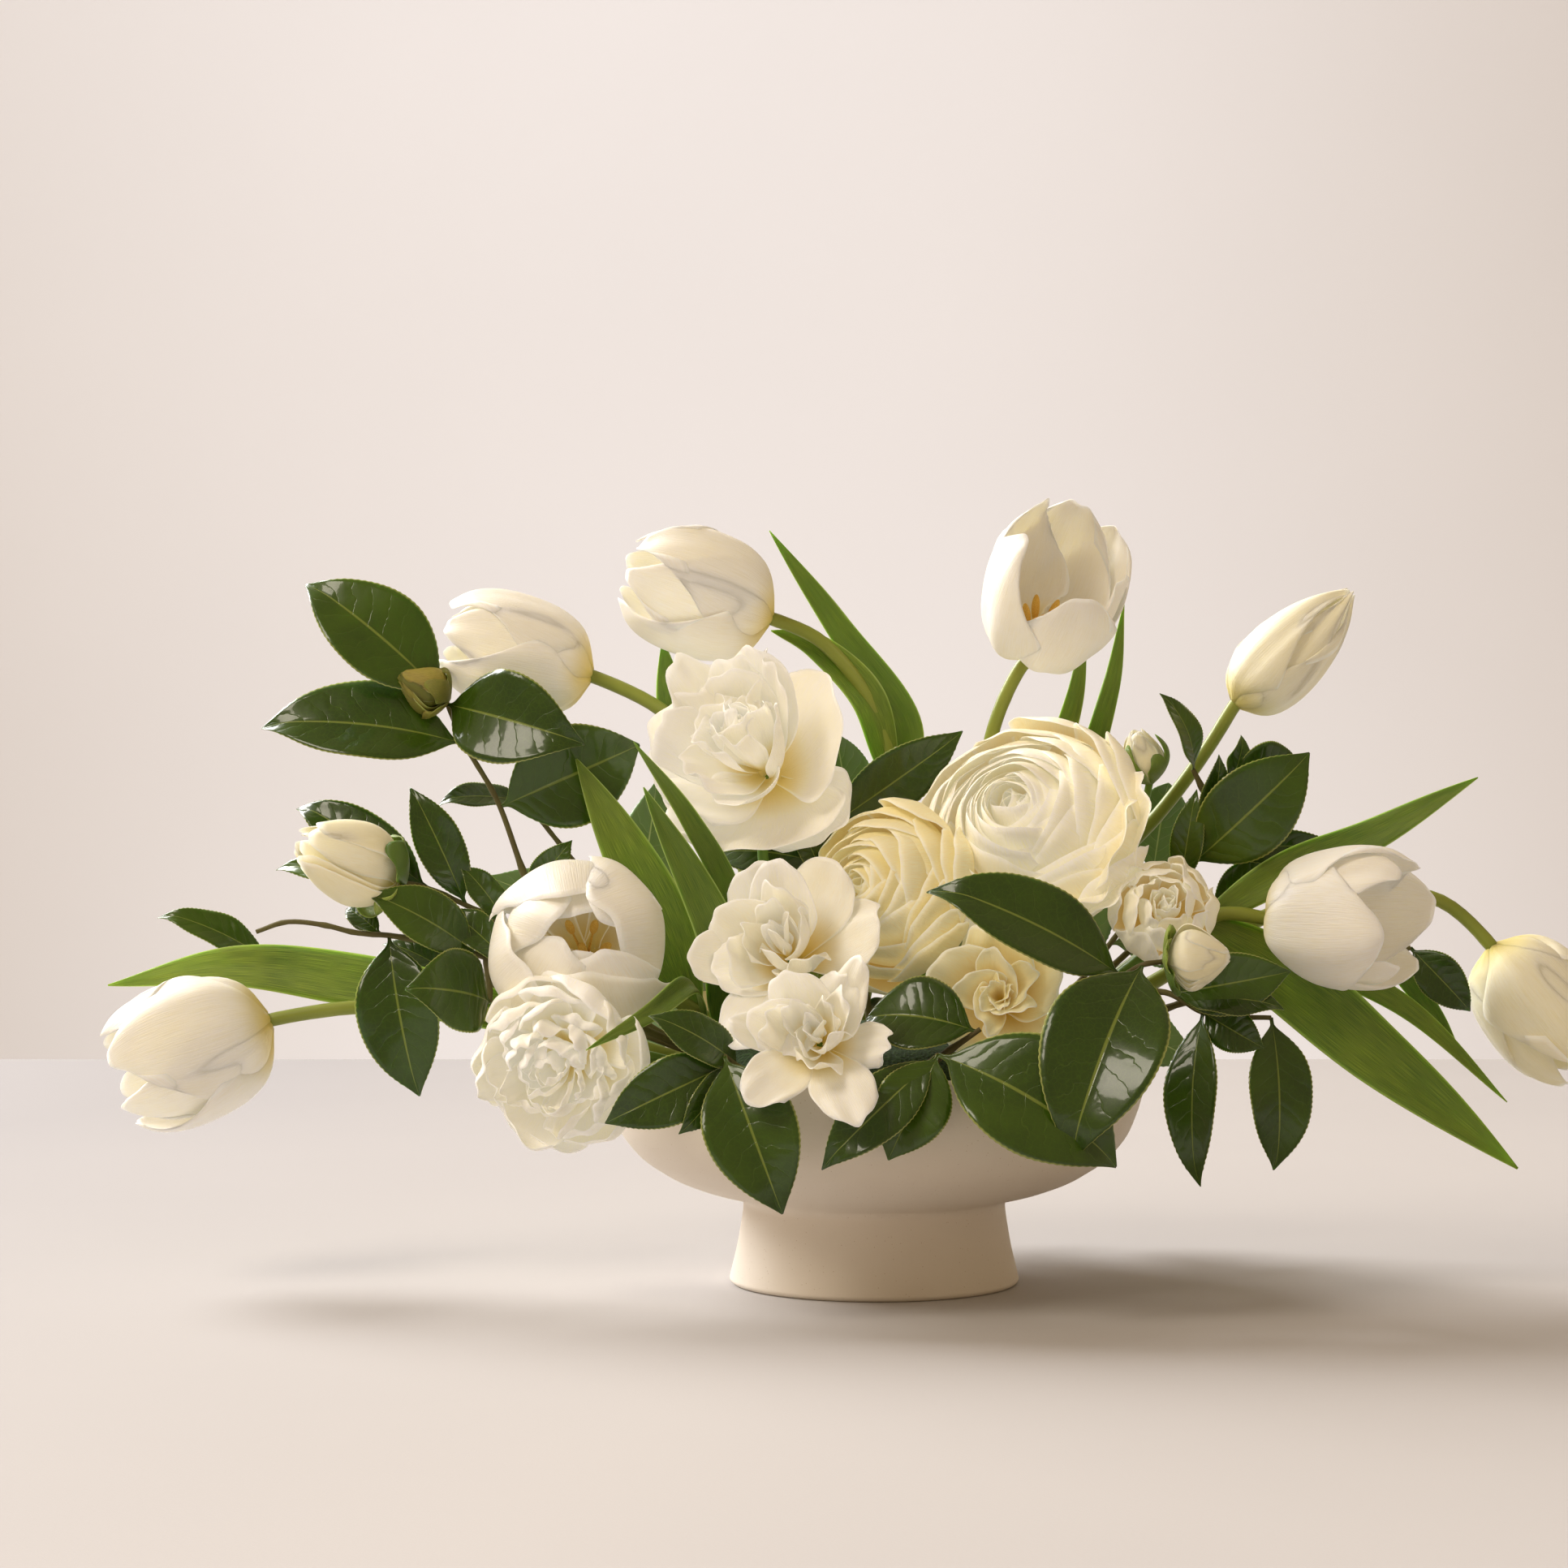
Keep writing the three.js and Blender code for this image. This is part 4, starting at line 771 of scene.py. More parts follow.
tulip_seed = 100
for seed, row in enumerate(tulips):
    rng = np.random.default_rng(tulip_seed + seed)
    name = "tulip_" + row["name"]
    foot = np.array(row["foot"]) * mm
    neck, axes, _ = stand(row["neck"], row["crown"])
    way = [foot, *map(spot, row["stem"]), neck, neck + tulip_stem_grip * axes[2]]
    line = route(way, tulip_stem_points)
    stem = stalk(name + "_stalk", [line], tulip_stem_radius, tulip_stem_green, 0.86, 0.05)
    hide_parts(name + "_stem")
    if row["name"] != "open_left":
        flesh = cream_tulip_petals if row["name"] in cream_tulips else tulip_petals
        head = tulip_head(row, rng).piece(name + "_bloom", flesh)
        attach(head, "root")
        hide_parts(name + "_petals")
    leaves = Sheets()
    for width, path in row["leaves"]:
        rib = route([nearest(line, spot(path[0])), *map(spot, path[1:])], tulip_leaf_points)
        grid = strap(rib, width * mm, rng, fold=0.3, waves=1.2 * mm)
        leaves.add(grid, tulip_leaf_thickness, rng.uniform(0.3, 0.75))
    if row["leaves"]:
        leaves = leaves.piece(name + "_leaves", tulip_leaf_green)
        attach(leaves, "root")
        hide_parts(name + "_stem")


# Stamens. Six anthers covered in pollen on short threads round a thick pistil, as they grow from
# the heart of a tulip. They are seen in the two open tulips, and pollen has dusted all of them.
def stamen_nodes():
    """A tree that stands stamens round each pistil: one point for each flower's heart."""
    sockets = {"Hearts": "Geometry", "Count": "Int", "Axis": "Vector"}
    for title in ("Length", "Anther Length", "Anther Radius", "Ring Radius", "Lean"):
        sockets[title] = "Float"
    tree, given = growth_tree("stamens", sockets)
    thread = add(
        tree, "GeometryNodeMeshCone",
        {
            "Vertices": 8, "Side Segments": 4, "Radius Top": 0.3 * mm, "Radius Bottom": 0.7 * mm,
            "Depth": given["Length"],
        },
    )
    ball = add(tree, "GeometryNodeMeshUVSphere", {"Segments": 12, "Rings": 8, "Radius": 1})
    slim = add(
        tree, "ShaderNodeCombineXYZ",
        (given["Anther Radius"], given["Anther Radius"], given["Anther Length"]),
    )
    top = add(tree, "ShaderNodeCombineXYZ", {"Z": given["Length"]})
    anther = add(
        tree, "GeometryNodeTransform", {"Geometry": ball, "Translation": top, "Scale": slim},
    )
    stamen = add(tree, "GeometryNodeJoinGeometry", {"Geometry": thread})
    tree.links.new(anther.outputs["Geometry"], stamen.inputs[0])
    ring = add(
        tree, "GeometryNodeMeshCircle", {"Vertices": given["Count"], "Radius": given["Ring Radius"]},
    )
    place = add(tree, "GeometryNodeInputPosition")
    outward = add(tree, "ShaderNodeVectorMath", (place,), operation="NORMALIZE")
    leaning = add(tree, "ShaderNodeVectorMath", (outward, given["Lean"]), operation="SCALE")
    way = add(tree, "ShaderNodeVectorMath", (leaning, (0, 0, 1)), operation="ADD")
    turn = add(tree, "FunctionNodeAlignRotationToVector", {"Vector": way}, axis="Z")
    round_it = add(
        tree, "GeometryNodeInstanceOnPoints", {"Points": ring, "Instance": stamen, "Rotation": turn},
    )
    pistil = add(
        tree, "GeometryNodeMeshCone",
        {
            "Vertices": 10, "Side Segments": 6, "Radius Top": 1.6 * mm, "Radius Bottom": 2.2 * mm,
            "Depth": given["Length"],
        },
    )
    heart = add(tree, "GeometryNodeJoinGeometry", {"Geometry": pistil})
    tree.links.new(round_it.outputs["Instances"], heart.inputs[0])
    aim = add(tree, "FunctionNodeAlignRotationToVector", {"Vector": given["Axis"]}, axis="Z")
    placed = add(
        tree, "GeometryNodeInstanceOnPoints",
        {"Points": given["Hearts"], "Instance": heart, "Rotation": aim},
    )
    end_growth(tree, placed, given["Material"])
    return tree


def pollen_grains():
    """Dry golden pollen: matte and grainy, the grains drawn 0.4 mm wide, coarser than they are."""
    grains = ("ShaderNodeTexVoronoi", {"Scale": 2.5 / mm})
    tones = ("#edb23a", "#fbdb78")
    return grainy("tulip_pollen", grains, tones, grains, 0.6, 0.2 * mm, {"Roughness": 0.85})


tulip_heart_height = 0.13
stamen_length = {"tall_open": 0.2, "open_left": 0.36}
stamen_tree = stamen_nodes()
pollen = pollen_grains()
for row in tulips:
    if row["name"] in stamen_length:
        name = "tulip_" + row["name"] + "_stamens"
        neck, axes, height = stand(row["neck"], row["crown"])
        heart = neck + axes[2] * height * tulip_heart_height
        sizes = {
            "Count": 6, "Length": stamen_length[row["name"]] * height, "Anther Length": 0.09 * height,
            "Anther Radius": 1.7 * mm, "Ring Radius": 2.6 * mm, "Lean": 0.4, "Axis": tuple(axes[2]),
            "Material": pollen,
        }
        stamens = grown(name + "_ring", [[heart]], stamen_tree, sizes)
        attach(stamens, "root")
        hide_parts(name)


# Full flowers. Two ranunculus, a camellia, two gardenias, a peony, a lisianthus and a rose, and one
# more ranunculus and rose at the back: rings of thin petals that grow from a small green cup. The
# open tulip on the left is made like them, since its petals fold in over each other.
blooms = [
    {
        "name": "gardenia_lower", "foot": [-8, -50, 80], "stem": [[1012, 1310, -74]],
        "neck": [1012, 1292, -90], "crown": [1000, 1258, -122], "radius": 25, "turn": 0,
    },
    {
        "name": "peony", "foot": [-50, -26, 82], "stem": [[790, 1300, -36]], "neck": [712, 1292, -60],
        "crown": [668, 1324, -97], "radius": 34, "turn": 0,
    },
    {
        "name": "gardenia_upper", "foot": [-12, -28, 70], "stem": [[1000, 1250, -46]],
        "neck": [978, 1190, -56], "crown": [952, 1140, -90], "radius": 30, "turn": 40,
    },
    {
        "name": "lisianthus", "foot": [18, -34, 72], "stem": [[1190, 1280, -44]],
        "neck": [1236, 1240, -52], "crown": [1228, 1220, -84], "radius": 25, "turn": 0,
    },
    {
        "name": "spray_rose", "foot": [40, -18, 74], "stem": [[1350, 1225, -20], [1420, 1165, -28]],
        "neck": [1430, 1137, -36], "crown": [1438, 1108, -74], "radius": 21.5, "turn": 0,
    },
    {
        "name": "ranunculus_large", "foot": [20, -4, 66], "stem": [[1225, 1200, -4], [1278, 1080, -4]],
        "neck": [1296, 1053, -10], "crown": [1243, 984, -62], "radius": 42.5, "turn": 0,
    },
    {
        "name": "camellia_bloom", "foot": [-12, 6, 66], "stem": [[965, 1150, 0], [940, 1055, 2]],
        "neck": [950, 962, 2], "crown": [896, 880, -40], "radius": 42, "turn": 0,
    },
    {
        "name": "ranunculus_side", "foot": [4, -14, 66], "stem": [[1105, 1240, -18], [1140, 1150, -16]],
        "neck": [1132, 1112, -20], "crown": [1052, 1088, -60], "radius": 34, "turn": 20,
    },
    {
        "name": "ranunculus_back", "foot": [-12, 46, 74], "stem": [[1000, 1260, 56]],
        "neck": [978, 1215, 60], "crown": [938, 1195, 106], "radius": 36, "turn": 0,
    },
    {
        "name": "rose_back", "foot": [22, 40, 72], "stem": [[1150, 1260, 54]], "neck": [1155, 1205, 60],
        "crown": [1192, 1180, 106], "radius": 35, "turn": 0,
    },
]


def arc(base, belly, rim, radius, height):
    """A petal's bent line from its base to its rim, each [out, up] in shares of its head."""

    def profile(t):
        shares = (1 - t) ** 2, 2 * t * (1 - t), t * t
        return (
            radius * sum(share * point[0] for share, point in zip(shares, (base, belly, rim))),
            height * sum(share * point[1] for share, point in zip(shares, (base, belly, rim))),
        )

    return profile


petal_spread = [[0, 0.22], [0.2, 0.5], [0.5, 0.88], [0.75, 1], [1, 0.86]]


def ring(petals, base, belly, rim, half, turn, step=None, **form):
    """One ring of like petals, a step apart or evenly round. What isn't said here is said by the
    form of a petal."""
    return {
        "petals": petals, "base": base, "belly": belly, "rim": rim, "half": half, "turn": turn,
        "step": 360 / petals if step is None else step, "form": form,
    }


def rings_of(*rows):
    """Rings from rows of their petals, base, belly, rim, half, turn and step, and then the cup,
    lap, rounding, curl and waves in millimetres, frill and grid of each petal."""
    rings = []
    for *laid, cup, lap, rounding, curl, waves, frill, size in rows:
        rings.append(
            ring(
                *laid, cup=cup, lap=lap, rounding=rounding, curl=curl * mm, waves=waves * mm,
                frill=frill, size=size,
            ),
        )
    return rings


bloom_petal_thickness = 0.4 * mm
usual_stray = 0.035


def bloom(row, rings, seed, thickness=bloom_petal_thickness, stray=usual_stray):
    """All the petals of one flower, ring by ring. Stray is how unlike each other they are."""
    rng = np.random.default_rng(seed)
    start, axes, height = stand(row["neck"], row["crown"])
    radius = row["radius"] * mm
    head = Sheets()
    for each in rings:
        for k in range(each["petals"]):
            shift = rng.normal(0, stray, 3)
            rim = (each["rim"][0] + shift[0], each["rim"][1] + shift[1])
            profile = arc(each["base"], each["belly"], rim, radius, height)
            reach = each["half"] * radius * (1 + shift[2])
            sway = rng.uniform(-0.12, 0.12) * each["step"]
            turn = row["turn"] + each["turn"] + each["step"] * k + sway

            def half(s, reach=reach):
                return reach * curve(petal_spread, s)

            grid = petal(rng, profile, half, turn, **each["form"])
            head.add(grid @ axes + start, thickness, rng.uniform(0, 1))
    return head


def ranunculus_rings(layers, flared):
    """Many thin petals packed in rings round a tight eye, the outer ones looser."""
    rings = []
    for k in range(layers):
        t = k / (layers - 1)
        middle = 0.1 + 0.9 * t**0.95
        rim = middle * (0.62 + 0.34 * t)
        top = 0.93 + 0.09 * math.sin(math.pi * min(1, t * 1.7)) - 0.33 * t**2.2
        base = (0.06 + 0.1 * t, 0.15 * (1 - t))
        belly = (2 * middle - (base[0] + rim) / 2, 0.62 - 0.3 * t)
        rings.append(
            ring(
                4 + round(2 * t), base, belly, (rim, top), min(0.12 + 0.95 * middle, 0.66), turn=47 * k,
                cup=1.0, lap=0.1, rounding=0.1, curl=(-1.2 + 2.2 * t) * mm, waves=(0.2 + 0.55 * t) * mm,
                frill=0.004 + 0.01 * t, size=(12, 17),
            ),
        )
    return rings + flared


flared_petals = rings_of(
    [4, (0.1, 0.04), (0.95, 0.22), (1.12, 0.66), 0.52, -130, 44, 0.6, 0.05, 0.14, 2.5, 1.8, 0.03, (18, 19)],
    [3, (0.1, 0.04), (0.9, 0.3), (1.04, 0.78), 0.5, -104, 44, 0.7, 0.05, 0.14, 2, 1.6, 0.03, (18, 19)],
)
camellia_rings = rings_of(
    [5, (0.04, 0.3), (0.12, 0.75), (0.1, 1.0), 0.22, 15, None, 0.9, 0.5, 0.2, -1.5, 2.6, 0.045, (16, 19)],
    [6, (0.06, 0.25), (0.3, 0.7), (0.3, 1.02), 0.3, 40, None, 0.6, 0.4, 0.2, 1, 3.2, 0.045, (18, 21)],
    [5, (0.06, 0.15), (0.5, 0.5), (0.52, 1.0), 0.4, 62, 44, 0.6, 0.2, 0.26, 2, 2.8, 0.03, (18, 21)],
    [3, (0.06, 0.15), (0.5, 0.4), (0.66, 1.1), 0.4, 70, 34, 0.8, -0.2, 0.24, 1, 1.8, 0.02, (20, 21)],
    [1, (0.06, 0.1), (0.6, 0.42), (0.84, 0.86), 0.42, 246, None, 1.6, 0.1, 0.3, 1, 1, 0.01, (20, 21)],
    [1, (0.06, 0.1), (0.5, 0.5), (0.62, 1.12), 0.36, 12, None, 1.5, -0.3, 0.3, 1, 1, 0.02, (20, 21)],
    [4, (0.06, 0.06), (0.66, 0.2), (0.86, 0.7), 0.46, 135, 32, 0.5, 0.1, 0.2, 2, 1.6, 0.025, (20, 21)],
    [
        1, (0.06, 0.06), (0.62, 0.12), (0.96, 0.72), 0.76, 30, None, 0.35, 0.05, 0.28, 1.2, 1, 0.018,
        (28, 31),
    ],
    [1, (0.06, 0.04), (0.66, 0.06), (0.94, 0.5), 0.84, -40, None, 0.35, 0.05, 0.3, 1.2, 1, 0.018, (28, 31)],
    [5, (0.06, 0.02), (0.6, 0.02), (0.92, 0.4), 0.56, 70, 42, 0.4, 0.08, 0.22, 2, 1.4, 0.02, (20, 23)],
    [1, (0.06, 0.0), (0.6, -0.02), (1.0, 0.26), 0.52, -72, None, 0.4, 0.05, 0.28, 1, 1.2, 0.018, (20, 23)],
)
peony_rings = rings_of(
    [6, (0.05, 0.3), (0.2, 0.75), (0.14, 1.0), 0.18, 0, None, 1.4, 0.4, 0.3, -1.5, 1, 0.03, (18, 17)],
    [8, (0.06, 0.2), (0.44, 0.75), (0.34, 1.02), 0.22, 20, None, 1.3, -0.35, 0.3, -2, 1.4, 0.03, (18, 17)],
    [9, (0.06, 0.15), (0.66, 0.66), (0.52, 0.98), 0.25, 5, None, 1.3, 0.35, 0.3, -1.5, 1.6, 0.03, (18, 17)],
    [8, (0.06, 0.12), (0.86, 0.62), (0.68, 0.9), 0.31, 14, None, 1.1, -0.3, 0.28, -2, 1.6, 0.03, (18, 17)],
    [7, (0.06, 0.1), (1.08, 0.5), (0.8, 0.84), 0.44, 30, None, 1.0, 0.2, 0.26, -2, 1.6, 0.025, (20, 21)],
    [6, (0.06, 0.04), (1.18, 0.26), (0.94, 0.7), 0.6, 0, None, 0.95, 0.12, 0.24, -2, 1.4, 0.02, (22, 25)],
)
gardenia_rings = rings_of(
    [3, (0.04, 0.3), (0.16, 0.7), (0.12, 1.02), 0.2, 0, None, 1.6, 0.4, 0.5, 1, 1, 0.01, (20, 17)],
    [4, (0.06, 0.15), (0.55, 0.55), (0.3, 1.06), 0.36, 60, None, 1.4, 0.35, 0.42, 2.5, 1.6, 0.01, (22, 21)],
    [3, (0.06, 0.12), (0.72, 0.45), (0.52, 1.02), 0.42, 40, None, 1.2, 0.3, 0.4, 3.5, 1.8, 0.012, (22, 21)],
    [3, (0.06, 0.1), (0.62, 0.36), (0.84, 0.84), 0.5, 60, 58, 0.7, 0.2, 0.26, 3, 1.6, 0.012, (22, 21)],
)
lisianthus_rings = rings_of(
    [5, (0.04, 0.3), (0.1, 0.7), (0.2, 0.95), 0.26, 0, None, 1.3, 0.5, 0.2, 1, 1.2, 0.03, (18, 17)],
    [5, (0.05, 0.2), (0.36, 0.65), (0.5, 0.96), 0.42, 30, None, 1.2, 0.45, 0.2, 2, 1.5, 0.03, (20, 19)],
    [5, (0.05, 0.08), (0.66, 0.5), (0.98, 0.84), 0.6, 10, None, 0.8, 0.3, 0.18, 3, 1.6, 0.028, (20, 21)],
)


def rose_rings(gape):
    """A rose from its tight heart outwards. Gape is how far its outer petals fall open."""
    shut = 1 - gape
    bellies = ((0.62 + 0.25 * shut, 0.6), (0.86 + 0.35 * shut, 0.5), (1.0 + 0.5 * shut, 0.3))
    rims = (
        (0.4 - 0.06 * shut, 1.0), (0.64 - 0.16 * shut, 0.94), (0.98 - 0.36 * shut, 0.74 + 0.1 * shut),
    )
    return rings_of(
        [3, (0.04, 0.3), (0.14, 0.7), (0.08, 0.98), 0.18, 0, None, 1.2, 0.4, 0.1, 0, 0.5, 0.01, (14, 13)],
        [4, (0.05, 0.2), (0.34, 0.7), (0.2, 1.02), 0.3, 30, None, 1.1, 0.3, 0.12, 1, 0.8, 0.015, (14, 13)],
        [
            5, (0.06, 0.14), bellies[0], rims[0], 0.42, 5, None, 1.0, 0.2, 0.14, 1.6 * gape, 1, 0.015,
            (16, 15),
        ],
        [
            5, (0.06, 0.08), bellies[1], rims[1], 0.54, 40, None, 0.9, 0.15, 0.16, 2.5 * gape, 1.2, 0.02,
            (16, 15),
        ],
        [
            6, (0.06, 0.03), bellies[2], rims[2], 0.56, 50, None, 0.7 + 0.3 * shut, 0.1, 0.18, 3 * gape,
            1.4, 0.02, (16, 17),
        ],
    )


sepal_ring = ring(
    5, (0.03, -0.06), (0.3, -0.12), (0.42, -0.08), 0.15, turn=15, cup=0.8, rounding=0.6, size=(10, 7),
)
globe_rings = rings_of(
    [1, (0.1, 0.04), (1.5, 0.3), (0.34, 1.06), 0.95, 25, None, 0.95, 0.1, 0.24, -2, 1.2, 0.02, (30, 31)],
    [1, (0.1, 0.04), (1.5, 0.34), (0.38, 1.06), 1.08, 142, None, 0.95, 0.1, 0.24, -1, 1.2, 0.02, (30, 31)],
    [1, (0.1, 0.02), (1.5, 0.3), (0.54, 0.98), 0.95, 205, None, 0.95, 0.1, 0.2, 0.5, 1.2, 0.025, (30, 31)],
    [1, (0.1, 0.02), (1.5, 0.3), (0.5, 0.98), 0.95, 272, None, 0.95, 0.1, 0.2, 0.5, 1.2, 0.025, (30, 31)],
    [1, (0.1, 0.06), (1.3, 0.5), (0.2, 1.0), 0.66, 88, None, 0.7, -0.1, 0.26, -2, 1.2, 0.02, (28, 27)],
    [1, (0.1, 0.06), (1.3, 0.5), (0.26, 0.98), 0.66, 208, None, 0.8, 0.1, 0.26, -1, 1.2, 0.02, (28, 27)],
    [1, (0.1, 0.06), (1.25, 0.52), (0.2, 0.98), 0.56, 278, None, 0.9, 0.1, 0.3, -1, 1.2, 0.02, (28, 27)],
    [1, (0.1, 0.06), (1.3, 0.5), (0.28, 0.96), 0.66, 338, None, 0.8, 0.1, 0.26, -1, 1.2, 0.02, (28, 27)],
    [2, (0.1, 0.06), (1.3, 0.5), (0.26, 1.0), 0.62, 36, 118, 0.8, 0.1, 0.26, -1, 1.2, 0.02, (28, 27)],
)


def loose(turn, belly, rim, half, petals=1, step=0, **form):
    """Single petals that hang out of a gardenia."""
    rest = {
        "cup": 0.3, "lap": 0.1, "rounding": 0.22, "curl": 2 * mm, "waves": 1.6 * mm, "size": (20, 19),
    }
    return ring(petals, (0.1, 0.08), belly, rim, half, turn=turn, step=step, **{**rest, **form})


white_flesh = petal_flesh(
    "camellia_petal_flesh", "#fffdf6", "#f9f1d8", "#ecd782", glow=0.3, lit=0.11, reach=0.5,
)
waxy_flesh = petal_flesh(
    "gardenia_petal_flesh", "#fdfbf3", "#f7eed2", "#e8cc62", glow=0.4, lit=0.08, streak=18, gloss=0.32,
    reach=0.55,
)
cream_flesh = petal_flesh(
    "ranunculus_petal_flesh", "#fcf4d0", "#f3e096", "#dcb83a", glow=0.25, lit=0.09, reach=0.9,
)
ranunculus_flesh = petal_flesh(
    "white_ranunculus_petal_flesh", "#fffdf2", "#f7ebbe", "#e4c350", glow=0.2, lit=0.1, reach=0.85,
)
sepal_green = juicy_green("sepal_flesh", "#9aab4e", "#56702d")
flower_stem_green = fleshy_stem("flower_stem_skin", ("#7f9f3f", "#4a762a"))
flower_stem_radius = 2.4 * mm
flower_stem_grip = 2 * mm
flower_stem_points = 32
sepal_thickness = 0.8 * mm
globe_seed = 290
head_seed = 200
sepal_seed = 300
loose_heads = {"peony": 0.07, "camellia_bloom": 0.06}

flowers = {
    "gardenia_lower": (
        gardenia_rings + [
            loose(234, (0.8, 0.7), (1.53, 0.96), 0.46), loose(297, (0.9, 0.7), (1.58, 0.96), 0.5),
            loose(52, (0.8, 0.4), (1.1, 1.05), 0.46, cup=1.2, rounding=0.4),
            loose(180, (0.7, 0.4), (1.2, 0.9), 0.34, cup=1.4), loose(350, (0.7, 0.3), (1.1, 0.7), 0.4),
        ],
        waxy_flesh,
    ),
    "gardenia_upper": (
        gardenia_rings + [
            loose(219, (0.9, 0.6), (1.62, 0.9), 0.44), loose(243, (0.9, 0.6), (1.68, 0.9), 0.42),
            loose(158, (0.8, 0.4), (1.06, 0.9), 0.44, cup=0.9),
            loose(-24, (0.85, 0.2), (1.22, 0.56), 0.54, petals=3, step=52),
        ],
        waxy_flesh,
    ),
    "peony": (peony_rings, white_flesh), "camellia_bloom": (camellia_rings, white_flesh),
    "lisianthus": (lisianthus_rings, cream_flesh), "spray_rose": (rose_rings(0.15), ranunculus_flesh),
    "rose_back": (rose_rings(1), white_flesh),
    "ranunculus_large": (ranunculus_rings(13, flared_petals), ranunculus_flesh),
    "ranunculus_side": (ranunculus_rings(11, []), cream_flesh),
    "ranunculus_back": (ranunculus_rings(10, []), cream_flesh),
}
globe = bloom(tulips[-1], globe_rings, globe_seed, thickness=tulip_petal_thickness)
globe = globe.piece("tulip_open_left_bloom", tulip_petals)
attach(globe, "root")
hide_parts("tulip_open_left_petals")

for seed, row in enumerate(blooms):
    name = row["name"]
    rings, flesh = flowers[name]
    foot = np.array(row["foot"]) * mm
    neck, axes, _ = stand(row["neck"], row["crown"])
    way = [foot, *map(spot, row["stem"]), neck, neck + flower_stem_grip * axes[2]]
    line = route(way, flower_stem_points)
    stem = stalk(name + "_stalk", [line], flower_stem_radius, flower_stem_green, 0.9, 0.06)
    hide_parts(name + "_stem")
    sepals = bloom(row, [sepal_ring], sepal_seed + seed, thickness=sepal_thickness)
    sepals = sepals.piece(name + "_sepals", sepal_green)
    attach(sepals, "root")
    stray = loose_heads.get(name, usual_stray)
    head = bloom(row, rings, head_seed + seed, stray=stray).piece(name + "_bloom", flesh)
    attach(head, "root")
    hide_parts(name + "_petals")


# Buds. Shut cream heads: one wrapped camellia bud and one half open, each in a cup of green scales
# that grows on its twig, and a small upright rosebud between long sepals.
buds = [
    {
        "name": "bud_round", "neck": [1438, 1184, -92], "crown": [1515, 1178, -98], "radius": 12,
        "turn": 0, "mouth": 0.12, "scales": 0.16,
    },
    {
        "name": "bud_half_open", "neck": [492, 1088, -28], "crown": [368, 1038, -46], "radius": 15,
        "turn": 25, "mouth": 0.42, "scales": 0.3,
    },
    {
        "name": "bud_upright", "neck": [1417, 962, -2], "crown": [1399, 901, -6], "radius": 8,
        "turn": 50, "mouth": 0.3, "scales": 0.84,
    },
]
bud_stem = {"foot": [36, 6, 72], "path": [[1330, 1150, 8], [1405, 1010, 4]]}
bud_stem_radius = 1.9 * mm
scale_thickness = 0.7 * mm
bud_seed = 400
scale_seed = 420


def bud_rings(mouth):
    """Petals wrapped tight round each other, the outer ones a little shorter."""
    shut = {
        "cup": 1.0, "lap": 0.12, "rounding": 0.18, "waves": 0.3 * mm, "frill": 0.01, "size": (18, 17),
    }
    return [
        ring(3, (0.1, 0.05), (1.55, 0.35), (mouth * 0.5, 1.0), 0.62, turn=60, **shut),
        ring(4, (0.1, 0.02), (1.75, 0.3), (mouth, 0.99), 0.72, turn=10, curl=0.4 * mm, **shut),
        ring(3, (0.1, 0.0), (1.9, 0.25), (mouth + 0.12, 0.9), 0.78, turn=40, curl=0.8 * mm, **shut),
    ]


def scale_rings(reach):
    """Green scales that clasp the foot of a bud. Long ones follow its round side."""
    clasp = {"cup": 1.0, "lap": 0.08, "rounding": 0.5, "waves": 0.2 * mm, "size": (12, 11)}
    belly = (1.2 + 0.95 * reach, 0.35 * reach)
    rim = 1.15 - 0.36 * reach
    return [
        ring(3, (0.1, -0.05), belly, (rim, reach), 0.62, turn=0, **clasp),
        ring(3, (0.1, -0.06), belly, (rim, reach * 0.72), 0.62, turn=60, **clasp),
    ]


bud_flesh = petal_flesh("bud_petal_flesh", "#fbf4da", "#f0e2ac", "#d0c466", lit=0.05)
for seed, row in enumerate(buds):
    name = row["name"]
    head = bloom(row, bud_rings(row["mouth"]), bud_seed + seed, stray=0.015)
    head = head.piece(name + "_bloom", bud_flesh)
    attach(head, "root")
    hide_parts(name + "_petals")
    cup = scale_rings(row["scales"])
    scales = bloom(row, cup, scale_seed + seed, thickness=scale_thickness, stray=0.03)
    scales = scales.piece(name + "_scales", sepal_green)
    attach(scales, "root")
    if name == "bud_upright":
        foot = np.array(bud_stem["foot"]) * mm
        line = route([foot, *map(spot, bud_stem["path"]), spot(row["neck"])], flower_stem_points)
        stem = stalk(name + "_stalk", [line], bud_stem_radius, flower_stem_green, 0.8, 0.1)
        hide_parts(name + "_stem")


# Camellia sprays. Woody brown twigs with leathery dark leaves: glossy above, dull and paler below,
# with a sunken pale midrib, netted side veins and a finely sawn yellowish edge.
green_bud = {"neck": [550, 862, 3], "crown": [492, 834, -4], "radius": 9.2, "turn": 0}
camellia_outline = [
    [0, 0.03], [0.05, 0.07], [0.12, 0.34], [0.22, 0.68], [0.36, 0.94], [0.5, 1], [0.66, 0.87],
    [0.8, 0.58], [0.9, 0.29], [0.96, 0.12], [1, 0.02],
]
teeth_along = 32
tooth_depth = 0.28 * mm
leaf_base_radius = 0.8 * mm

